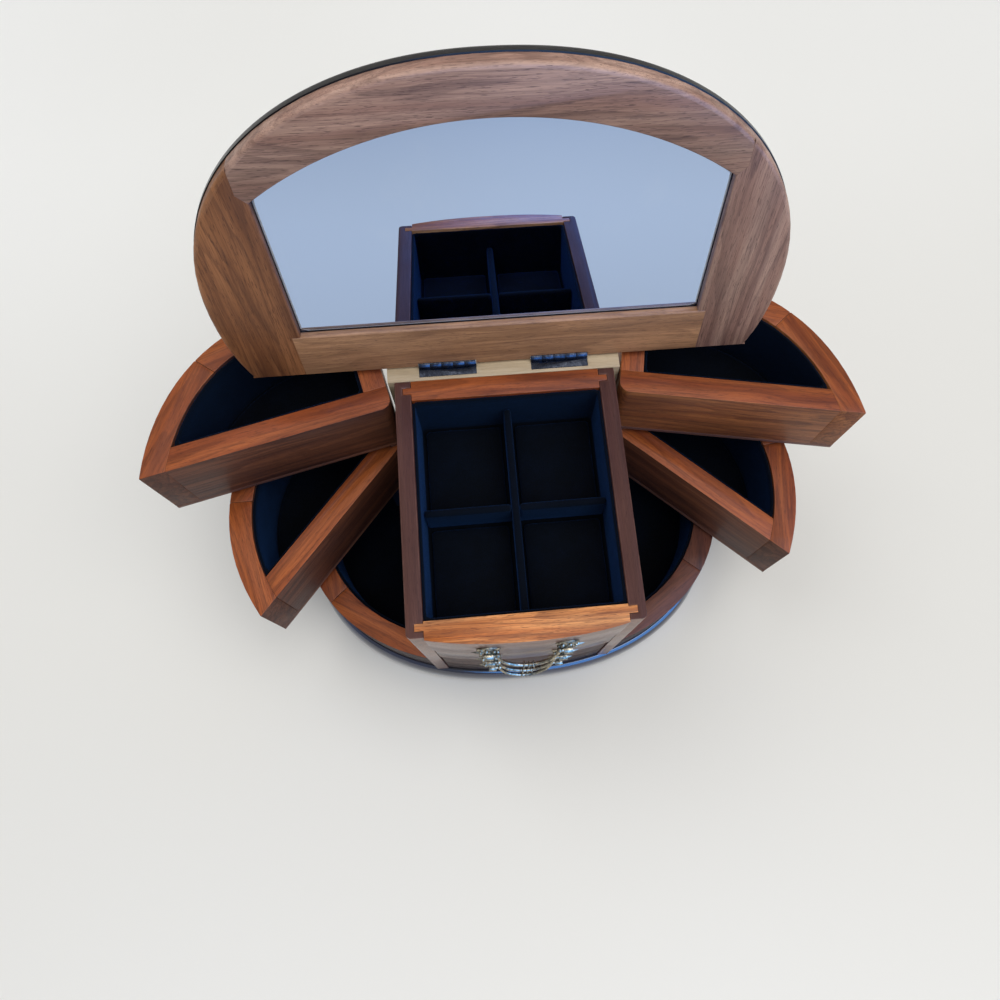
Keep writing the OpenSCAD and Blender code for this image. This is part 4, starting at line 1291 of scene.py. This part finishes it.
@dataclass
class Drawer:
    """One of the two drawers under the top compartment."""

    key: str
    seed: float
    finish: Finish

    @property
    def body(self) -> str:
        """The drawer's construction body."""
        return self.key + "_drawer"

    def hollow(self, x: float, y: float, inset: float) -> bool:
        """Say whether a point lies in the drawer's hollow."""
        low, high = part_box(self.body + "_lining")
        inset -= SIZES.lining_fit
        return low.x + inset <= x <= high.x - inset and low.y + inset <= y <= high.y - inset

    def dress(self) -> None:
        """Make the drawer's pieces."""
        wooden(self.body + "_front", self.body, self.finish, board_grain("XYZ", self.seed))
        wooden(self.body + "_box", self.body, INSIDE, board_grain("YXZ", self.seed + 1),
               THIN_ROUND)
        low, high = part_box(self.body + "_lining")
        middle = (0.0, (low.y + high.y) / 2)
        VelvetLining(self.body + "_lining", self.body, self.hollow, middle, low.z, high.z, count=200,
                     seed=self.seed / 3).dress()


@dataclass
class Lid:
    """The mirror lid: outer panel, framed front, mirror and card."""

    body: str = "lid"

    @property
    def placement(self) -> Placement:
        """Where the lid stands at rest."""
        return Placement.lid()

    @property
    def oval(self) -> Oval:
        """The lid's outline in its closed place."""
        s = SIZES
        rear = joint_named("lid_hinge")["pos_m"][1]
        widest = rear - s.lid_widest
        return Oval(s.lid_w / 2, widest + s.body_d / 2 + s.lid_front_out, widest, s.lid_power, rear)

    @property
    def frame_z(self) -> float:
        """Height of the frame's visible face while the lid is closed."""
        return joint_named("lid_hinge")["pos_m"][2] - 0.8 * MM

    def past_sight(self, x: float, y: float) -> float:
        """Give how far a point lies outside the sight opening, which is negative inside it."""
        s = SIZES
        radius = (s.sight_half_w ** 2 + s.sight_rise ** 2) / (2 * s.sight_rise)
        bottom = self.oval.rear_y - s.sight_bottom
        arc_y = bottom - s.sight_side - s.sight_rise + radius
        return max(abs(x) - s.sight_half_w, y - bottom, math.hypot(x, y - arc_y) - radius)

    def edge_share(self, point: Vector) -> float:
        """Give how far an edge of the frame is rounded: most outside, less round the mirror."""
        p = self.placement.matrix.inverted() @ point
        if p.z > self.frame_z + 1.0 * MM:
            return 0.06
        if self.oval.level(p.x, p.y) > 0.985:
            return 1.0
        return 0.45 if abs(self.past_sight(p.x, p.y)) < 0.3 * MM else 0.06

    def dress_panel(self) -> None:
        """Make the outer panel with its rolled edge."""
        oval = self.oval
        base = self.frame_z + SIZES.lid_frame_t

        def region(x: float, y: float, inset: float) -> bool:
            """Say whether a point lies in the panel's outline."""
            return oval.level(x, y, inset) <= 1 and y <= oval.rear_y - inset
        profile = [(0.5, 0.0), (0.0, 0.25), (0.0, 2.6), (0.15, 3.5), (0.6, 4.5), (1.3, 5.2), (2.2, 5.75),
                   (3.2, 6.0)]
        centre = (0.0, oval.widest_y)
        rows = [(trace(region, centre, i * MM, 300, 0.25), base + z * MM) for i, z in profile]
        panel = loft("lid_panel_lacquered", rows, self.placement)
        finish_piece(panel, self.body, PANEL, ("lid_panel",))

    def dress_mirror(self) -> None:
        """Make the mirror with a ground bevel round its edge."""
        face = self.frame_z + SIZES.lid_frame_t - 3.0 * MM

        def region(x: float, y: float, inset: float) -> bool:
            """Say whether a point lies in the mirror's outline."""
            return self.past_sight(x, y) <= SIZES.mirror_lap - inset
        centre = (0.0, self.oval.rear_y - SIZES.sight_bottom - 45 * MM)
        profile = [(0.2, 2.4), (0.0, 2.2), (0.0, 1.1), (0.3, 0.9), (4.4, 0.55), (5.3, 0.0)]
        rows = [(trace(region, centre, i * MM, 240, 0.2), face + z * MM) for i, z in profile]
        glass = loft("mirror_bevelled", rows, self.placement)
        smooth_by_angle(glass.data, 2.0)
        finish_piece(glass, self.body, MIRROR, ("mirror",))
        facing = (self.placement.matrix.to_3x3() @ Vector((0, 0, -1))).normalized()
        face_finish(glass, GROUND, lambda normal: abs(normal.dot(facing)) < 0.97)

    def dress(self) -> None:
        """Make the lid's pieces."""
        place = self.placement
        # The top rail and the right stile wear a paler, silvery walnut as painted reflection.
        for node, axes, offset, finish in (
                ("lid_top_rail", "XYZ", 21.0, GLARE_WALNUT), ("lid_bottom_rail", "XYZ", 23.0, PALE_WALNUT),
                ("lid_left_stile", "YXZ", 25.0, WALNUT), ("lid_right_stile", "YXZ", 27.0, GLARE_WALNUT)):
            wooden(node, self.body, finish, board_grain(axes, offset, place), 1.9 * MM,
                   self.edge_share)
        self.dress_panel()
        self.dress_mirror()
        set_material(frame["nodes"]["mirror_card"], CARD)


@dataclass
class Handle:
    """A bail handle: two posts on leafy rosettes, and a swelling bow with beads at its middle."""

    key: str
    posts_body: str
    leaves: int = 7
    post_pitch: float = 39.0 * MM
    bow_half: float = 15.3 * MM
    bow_drop: float = 15.0 * MM
    bar: float = 1.1 * MM
    bead: float = 2.0 * MM
    lean: float = math.radians(16)

    def leaf_mesh(self) -> bpy.types.Mesh:
        """Make one domed leaf with a crease, which points along +X from the origin."""
        build = bmesh.new()
        long, wide, high = 5.0 * MM, 2.9 * MM, 1.3 * MM
        across, along = 6, 8
        grid = []
        for i in range(along + 1):
            t = i / along
            half = wide / 2 * math.sin(math.pi * (0.12 + 0.88 * t) ** 0.8) ** 0.75 if t < 1 else 0.02 * MM
            row = []
            for j in range(across + 1):
                u = -1 + 2 * j / across
                dome = high * (1 - u * u) * math.sin(math.pi * min(1.0, 0.25 + 0.75 * t))
                crease = 0.4 * MM * max(0.0, 1 - abs(u) * 3) * t
                row.append(build.verts.new((long * t, half * u, max(0.15 * MM, dome - crease + 0.15 * MM))))
            grid.append(row)
        base = [[build.verts.new((v.co.x, v.co.y, 0.0)) for v in row] for row in grid]
        for layer in (grid, base):
            for i in range(along):
                for j in range(across):
                    build.faces.new((layer[i][j], layer[i + 1][j], layer[i + 1][j + 1], layer[i][j + 1]))
        rim = ([(grid[i][0], grid[i + 1][0], base[i + 1][0], base[i][0]) for i in range(along)]
               + [(grid[i + 1][-1], grid[i][-1], base[i][-1], base[i + 1][-1]) for i in range(along)]
               + [(grid[0][j + 1], grid[0][j], base[0][j], base[0][j + 1]) for j in range(across)]
               + [(grid[-1][j], grid[-1][j + 1], base[-1][j + 1], base[-1][j]) for j in range(across)])
        for quad in rim:
            build.faces.new(quad)
        bmesh.ops.recalc_face_normals(build, faces=build.faces)
        mesh = bpy.data.meshes.new("leaf")
        build.to_mesh(mesh)
        build.free()
        return mesh

    def rosette(self, name: str) -> bpy.types.Object:
        """Set leaves and berries round a boss with geometry nodes.

        It faces +Z, and its long leaf points to +X.
        """
        leaf = link(self.leaf_mesh(), "leaf_source")
        maker = Maker("rosette_leaves", {"Count": (INT, self.leaves),
                                         "Leaf": (OBJECT, leaf),
                                         "Boss": (FLOAT, 1.9 * MM),
                                         "Berry": (FLOAT, 1.0 * MM),
                                         "Berry Ring": (FLOAT, 4.4 * MM),
                                         "Longer": (FLOAT, 0.7),
                                         "Material": (MATERIAL, BRASS.material())})
        g, i = maker.graph, maker.inputs
        points = g.out("GeometryNodePoints", {"Count": i["Count"], "Radius": 0.001})
        step = g.maths("DIVIDE", 2 * math.pi, i["Count"])
        angle = g.times(g.out("GeometryNodeInputIndex"), step)
        outward = g.maths("POWER", g.maths("MAXIMUM", g.maths("COSINE", angle), 0.0), 3.0)
        long = g.plus(g.times(outward, i["Longer"]), 1.0)
        shape = g.add("GeometryNodeObjectInfo", {"Object": i["Leaf"]}).outputs["Geometry"]
        leaves = g.out("GeometryNodeInstanceOnPoints", {
            "Points": points, "Instance": shape, "Rotation": g.out("ShaderNodeCombineXYZ", {2: angle}),
            "Scale": g.out("ShaderNodeCombineXYZ", {0: long, 1: 1.0, 2: 1.0})})
        between = g.plus(angle, g.times(step, 0.5))
        ring = g.out("ShaderNodeCombineXYZ", {
            0: g.times(g.maths("COSINE", between), i["Berry Ring"]),
            1: g.times(g.maths("SINE", between), i["Berry Ring"]), 2: 0.9 * MM})
        spots = g.out("GeometryNodeSetPosition", {"Geometry": points, "Position": ring})
        berry = g.out("GeometryNodeMeshUVSphere", {"Segments": 14, "Rings": 8, "Radius": i["Berry"]})
        berries = g.out("GeometryNodeInstanceOnPoints", {"Points": spots, "Instance": berry})
        dome = g.out("GeometryNodeMeshUVSphere", {"Segments": 20, "Rings": 10, "Radius": i["Boss"]})
        boss = g.out("GeometryNodeTransform", {"Geometry": dome, "Translation": (0.0, 0.0, 1.2 * MM)})
        made = maker.make(name, (leaves, berries, boss))
        bpy.data.objects.remove(leaf)
        return made

    def bow(self, name: str) -> bpy.types.Object:
        """Sweep the swelling bar along its arc in the XY plane and thread the beads."""
        radius = (self.bow_half ** 2 + self.bow_drop ** 2) / (2 * self.bow_drop)
        half = math.asin(min(1.0, self.bow_half / radius))
        maker = Maker("bail_bow", {"Arc Radius": (FLOAT, radius),
                                   "Start": (FLOAT, -math.pi / 2 - half),
                                   "Sweep": (FLOAT, 2 * half),
                                   "Bar": (FLOAT, self.bar),
                                   "Bead": (FLOAT, self.bead),
                                   "Beads": (INT, 3),
                                   "Bead Half Span": (FLOAT, 0.052),
                                   "Thin End": (FLOAT, 0.6),
                                   "Material": (MATERIAL, BRASS.material())})
        g, i = maker.graph, maker.inputs
        arc = g.out("GeometryNodeCurveArc", {"Radius": i["Arc Radius"], "Start Angle": i["Start"],
                                             "Sweep Angle": i["Sweep"], "Resolution": 72})
        factor = g.out("GeometryNodeSplineParameter")
        swell = g.maths("SINE", g.times(factor, math.pi))
        growth = g.times(swell, g.maths("SUBTRACT", 1.0, i["Thin End"]))
        thick = g.plus(i["Thin End"], growth)
        tapered = g.out("GeometryNodeSetCurveRadius", {"Curve": arc, "Radius": thick})
        ring = g.out("GeometryNodeCurvePrimitiveCircle", {"Resolution": 20, "Radius": i["Bar"]})
        bar = g.out("GeometryNodeCurveToMesh", {"Curve": tapered, "Profile Curve": ring, "Fill Caps": True,
                                                "Scale": thick})
        low = g.maths("SUBTRACT", 0.5, i["Bead Half Span"])
        high = g.plus(0.5, i["Bead Half Span"])
        middle = g.out("GeometryNodeTrimCurve", {"Curve": arc, 2: low, 3: high}, mode="FACTOR")
        spots = g.add("GeometryNodeCurveToPoints", {"Curve": middle, "Count": i["Beads"]}, mode="COUNT")
        ball = g.out("GeometryNodeMeshUVSphere", {"Segments": 24, "Rings": 12, "Radius": i["Bead"]})
        beads = g.out("GeometryNodeInstanceOnPoints", {
            "Points": spots.outputs["Points"], "Instance": ball, "Rotation": spots.outputs["Rotation"],
            "Scale": (1.0, 1.0, 0.30)})
        return maker.make(name, (bar, beads))

    def dress_posts(self) -> None:
        """Put a rosette, a turned stem and the eye at each post."""
        node = self.key + "_posts"
        low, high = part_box(node)
        z = (low.z + high.z) / 2
        joined = [carve(node, node + "_turned", 0.25 * MM, 2)]
        seat = high.y - 4 * MM - 1.0 * MM
        for side in (-1, 1):
            flower = self.rosette(f"{node}_flower_{side}")
            turn = Matrix.Rotation(math.pi if side < 0 else 0.0, 4, "Z")
            face = Matrix.Translation((side * self.post_pitch / 2, seat, z))
            place_mesh(flower, face @ Matrix.Rotation(math.pi / 2, 4, "X") @ turn)
            joined.append(flower)
        piece = join(joined, node + "_rosettes")
        smooth_by_angle(piece.data, 45)
        finish_piece(piece, self.posts_body, BRASS, (node,))

    def dress_bow(self) -> None:
        """Hang the bow, and give each end a knob and a pin."""
        node = self.key + "_bail"
        pivot = Vector(joint_named(self.key + "_bail_swing")["pos_m"])
        radius = (self.bow_half ** 2 + self.bow_drop ** 2) / (2 * self.bow_drop)
        bow = self.bow(node + "_bar")
        hang = (Matrix.Translation(pivot) @ Matrix.Rotation(-self.lean, 4, "X")
                @ Matrix.Translation((0, 0, radius - self.bow_drop)) @ Matrix.Rotation(math.pi / 2, 4, "X"))
        place_mesh(bow, hang)
        build = bmesh.new()
        for side in (-1, 1):
            knob = Matrix.Translation(pivot + Vector((side * self.bow_half, 0, 0)))
            bmesh.ops.create_uvsphere(build, u_segments=20, v_segments=12, radius=1.45 * MM, matrix=knob)
            inner, outer = self.bow_half, self.post_pitch / 2 + 1.8 * MM
            place = (Matrix.Translation(pivot + Vector((side * (inner + outer) / 2, 0, 0)))
                     @ Matrix.Rotation(math.pi / 2, 4, "Y"))
            bmesh.ops.create_cone(build, cap_ends=True, segments=20, radius1=1.0 * MM, radius2=1.0 * MM,
                                  depth=outer - inner, matrix=place)
        mesh = bpy.data.meshes.new(node + "_ends")
        build.to_mesh(mesh)
        build.free()
        piece = join([bow, link(mesh, node + "_ends")], node + "_bow")
        smooth_by_angle(piece.data, 50)
        finish_piece(piece, node, BRASS, (node,))

    def dress(self) -> None:
        """Make the posts and the bow."""
        self.dress_posts()
        self.dress_bow()


@dataclass
class Hardware:
    """Hinges, their screws, the pivot rods and their collars."""

    def dress(self) -> None:
        """Round the hinges' edges and paint the metal."""
        for node, body in (("hinge_base_leaves", "root"), ("hinge_lid_leaves", "lid")):
            piece = carve(node, node + "_cast", 0.18 * MM, 2)
            finish_piece(piece, body, BLACKED, (node,))
        for node in ("hinge_pins_and_screws", "lid_leaf_screws"):
            set_material(frame["nodes"][node], BLACKED)
        for node in ("pivot_rods", "rod_collars"):
            set_material(frame["nodes"][node], STEEL)


# ---------------------------------------------------------------- the studio


@dataclass(frozen=True)
class Studio:
    """Pale floor, soft lamps and the camera."""

    focal_px: float = 728.1
    centre_px: Point = (531.5, 536.4)
    image_px: float = 1000.0
    tilt: tuple[float, float, float] = (0.274, -0.050, -0.082)
    camera_at: tuple[float, float, float] = (-11.8 * MM, -118.3 * MM, 499.8 * MM)
    sensor: float = 36.0
    floor_shades: Point = (-0.38, -1.0)
    far_floor_painted_reflection: Colour = srgb(208, 214, 224)

    def camera(self) -> None:
        """Set the camera where the photograph was taken from."""
        data = bpy.data.cameras.new("photo_camera")
        data.sensor_width = self.sensor
        data.lens = self.focal_px / self.image_px * self.sensor
        data.shift_x = (self.image_px / 2 - self.centre_px[0]) / self.image_px
        data.shift_y = (self.centre_px[1] - self.image_px / 2) / self.image_px
        data.clip_start = 0.01
        cam = bpy.data.objects.new("photo_camera", data)
        bpy.context.scene.collection.objects.link(cam)
        rx, ry, rz = self.tilt
        turn = Matrix.Rotation(rx, 4, "X") @ Matrix.Rotation(ry, 4, "Y") @ Matrix.Rotation(rz, 4, "Z")
        cam.matrix_world = Matrix.Translation(self.camera_at) @ turn
        bpy.context.scene.camera = cam

    def floor(self) -> None:
        """Lay the pale floor, which turns up into a backdrop far away."""
        build = bmesh.new()
        rows = [(-3.0, 0.0), (1.6, 0.0), (2.0, 0.05), (2.3, 0.22), (2.5, 0.5), (2.55, 2.5)]
        half = 3.0
        pairs = [(build.verts.new((-half, y, z)), build.verts.new((half, y, z))) for y, z in rows]
        for (a, b), (c, d) in zip(pairs, pairs[1:]):
            build.faces.new((a, b, d, c))
        mesh = bpy.data.meshes.new("floor")
        build.to_mesh(mesh)
        build.free()
        floor = link(mesh, "floor")
        material = bpy.data.materials.new("pale_floor")
        material.use_nodes = True
        graph = Graph(material.node_tree)
        place = graph.place()
        tone = graph.ramp(graph.noise(place, 1.6, 1.0), 0.2, 0.8)
        pale = graph.mix(tone, srgb(238, 236, 231), srgb(247, 246, 243))
        depth = graph.add("ShaderNodeSeparateXYZ", {0: place}).outputs[1]
        # A band across the floor through the box's place is a little darker: painted shadow.
        band = graph.maths("SUBTRACT", 1.0, graph.ramp(graph.maths("ABSOLUTE", depth), 0.05, 0.42))
        pale = graph.mix(band, pale, srgb(234, 232, 227))
        # Far in front the floor fades to blue-grey, which the mirror shows: painted reflection.
        fade = graph.ramp(depth, self.floor_shades[0], self.floor_shades[1])
        shaded = graph.mix(fade, pale, self.far_floor_painted_reflection)
        shader = graph.add("ShaderNodeBsdfPrincipled", {"Base Color": shaded, "Roughness": 0.7,
                                                        "Specular IOR Level": 0.0})
        output = graph.add("ShaderNodeOutputMaterial")
        graph.tree.links.new(shader.outputs[0], output.inputs[0])
        mesh.materials.append(material)

    def lamp(self, name: str, at: tuple[float, float, float], size: Point, watts: float, colour: Colour,
             gloss_only: bool = False) -> None:
        """Hang a soft lamp that points at the box.

        Args:
            name: The lamp's name.
            at: Where it hangs.
            size: Its width and height, in metres.
            watts: Its power.
            colour: Its colour.
            gloss_only: Whether it shows in glossy surfaces only.
        """
        data = bpy.data.lights.new(name, "AREA")
        data.shape = "RECTANGLE"
        data.size, data.size_y = size
        data.energy = watts
        data.color = colour[:3]
        lamp = bpy.data.objects.new(name, data)
        bpy.context.scene.collection.objects.link(lamp)
        lamp.visible_diffuse = not gloss_only
        aim = Vector((0, 0, 0.08)) - Vector(at)
        lamp.matrix_world = Matrix.Translation(at) @ aim.to_track_quat("-Z", "Y").to_matrix().to_4x4()

    def light(self) -> None:
        """Set the window-like key, a weak fill and the soft surround."""
        self.lamp("window", (-0.75, 0.55, 1.5), (1.0, 1.0), 6.0, (0.95, 0.975, 1.0, 1))
        self.lamp("overhead", (0.6, -0.3, 2.2), (2.0, 2.0), 30.0, (1.0, 0.98, 0.95, 1))
        self.lamp("blue_sky", (0.95, -1.15, 0.95), (3.0, 2.0), 85.0, (0.10, 0.38, 1.0, 1), True)
        world = bpy.data.worlds.new("surround")
        world.use_nodes = True
        graph = Graph(world.node_tree)
        seen = graph.add("ShaderNodeLightPath").outputs["Is Camera Ray"]
        tint = graph.mix(seen, (0.90, 0.94, 1.0, 1), srgb(232, 231, 228))
        strength = graph.plus(0.42, graph.times(seen, 0.58))
        shade = graph.add("ShaderNodeBackground", {"Color": tint, "Strength": strength})
        output = graph.add("ShaderNodeOutputWorld")
        graph.tree.links.new(shade.outputs[0], output.inputs[0])
        bpy.context.scene.world = world

    def dress(self) -> None:
        """Set up the whole studio."""
        self.camera()
        self.floor()
        self.light()
        bpy.context.scene.view_settings.view_transform = "Standard"


def main() -> None:
    """Build every sub-assembly in order."""
    logging.basicConfig(level=logging.INFO, format="%(message)s")
    Studio().dress()
    assemblies = [
        # The lower drawer's front is darker as painted shade; the upper right tray's sides are lighter as
        # painted light.
        BaseLevel(), Column(), Drawer("upper", 17.0, FRONT), Drawer("lower", 29.0, SHADE_LOW_FRONT),
        SwingTray("upper_left", Side.LEFT, 1.1), SwingTray("upper_right", Side.RIGHT, 2.3, LIT_FACE),
        SwingTray("lower_left", Side.LEFT, 3.7), SwingTray("lower_right", Side.RIGHT, 4.9),
        Lid(), Handle("top", "root"), Handle("upper_drawer", "upper_drawer"),
        Handle("lower_drawer", "lower_drawer"), Hardware(),
    ]
    for assembly in assemblies:
        assembly.dress()
        LOG.info("built %s", type(assembly).__name__)


if __name__ == "__main__":
    main()
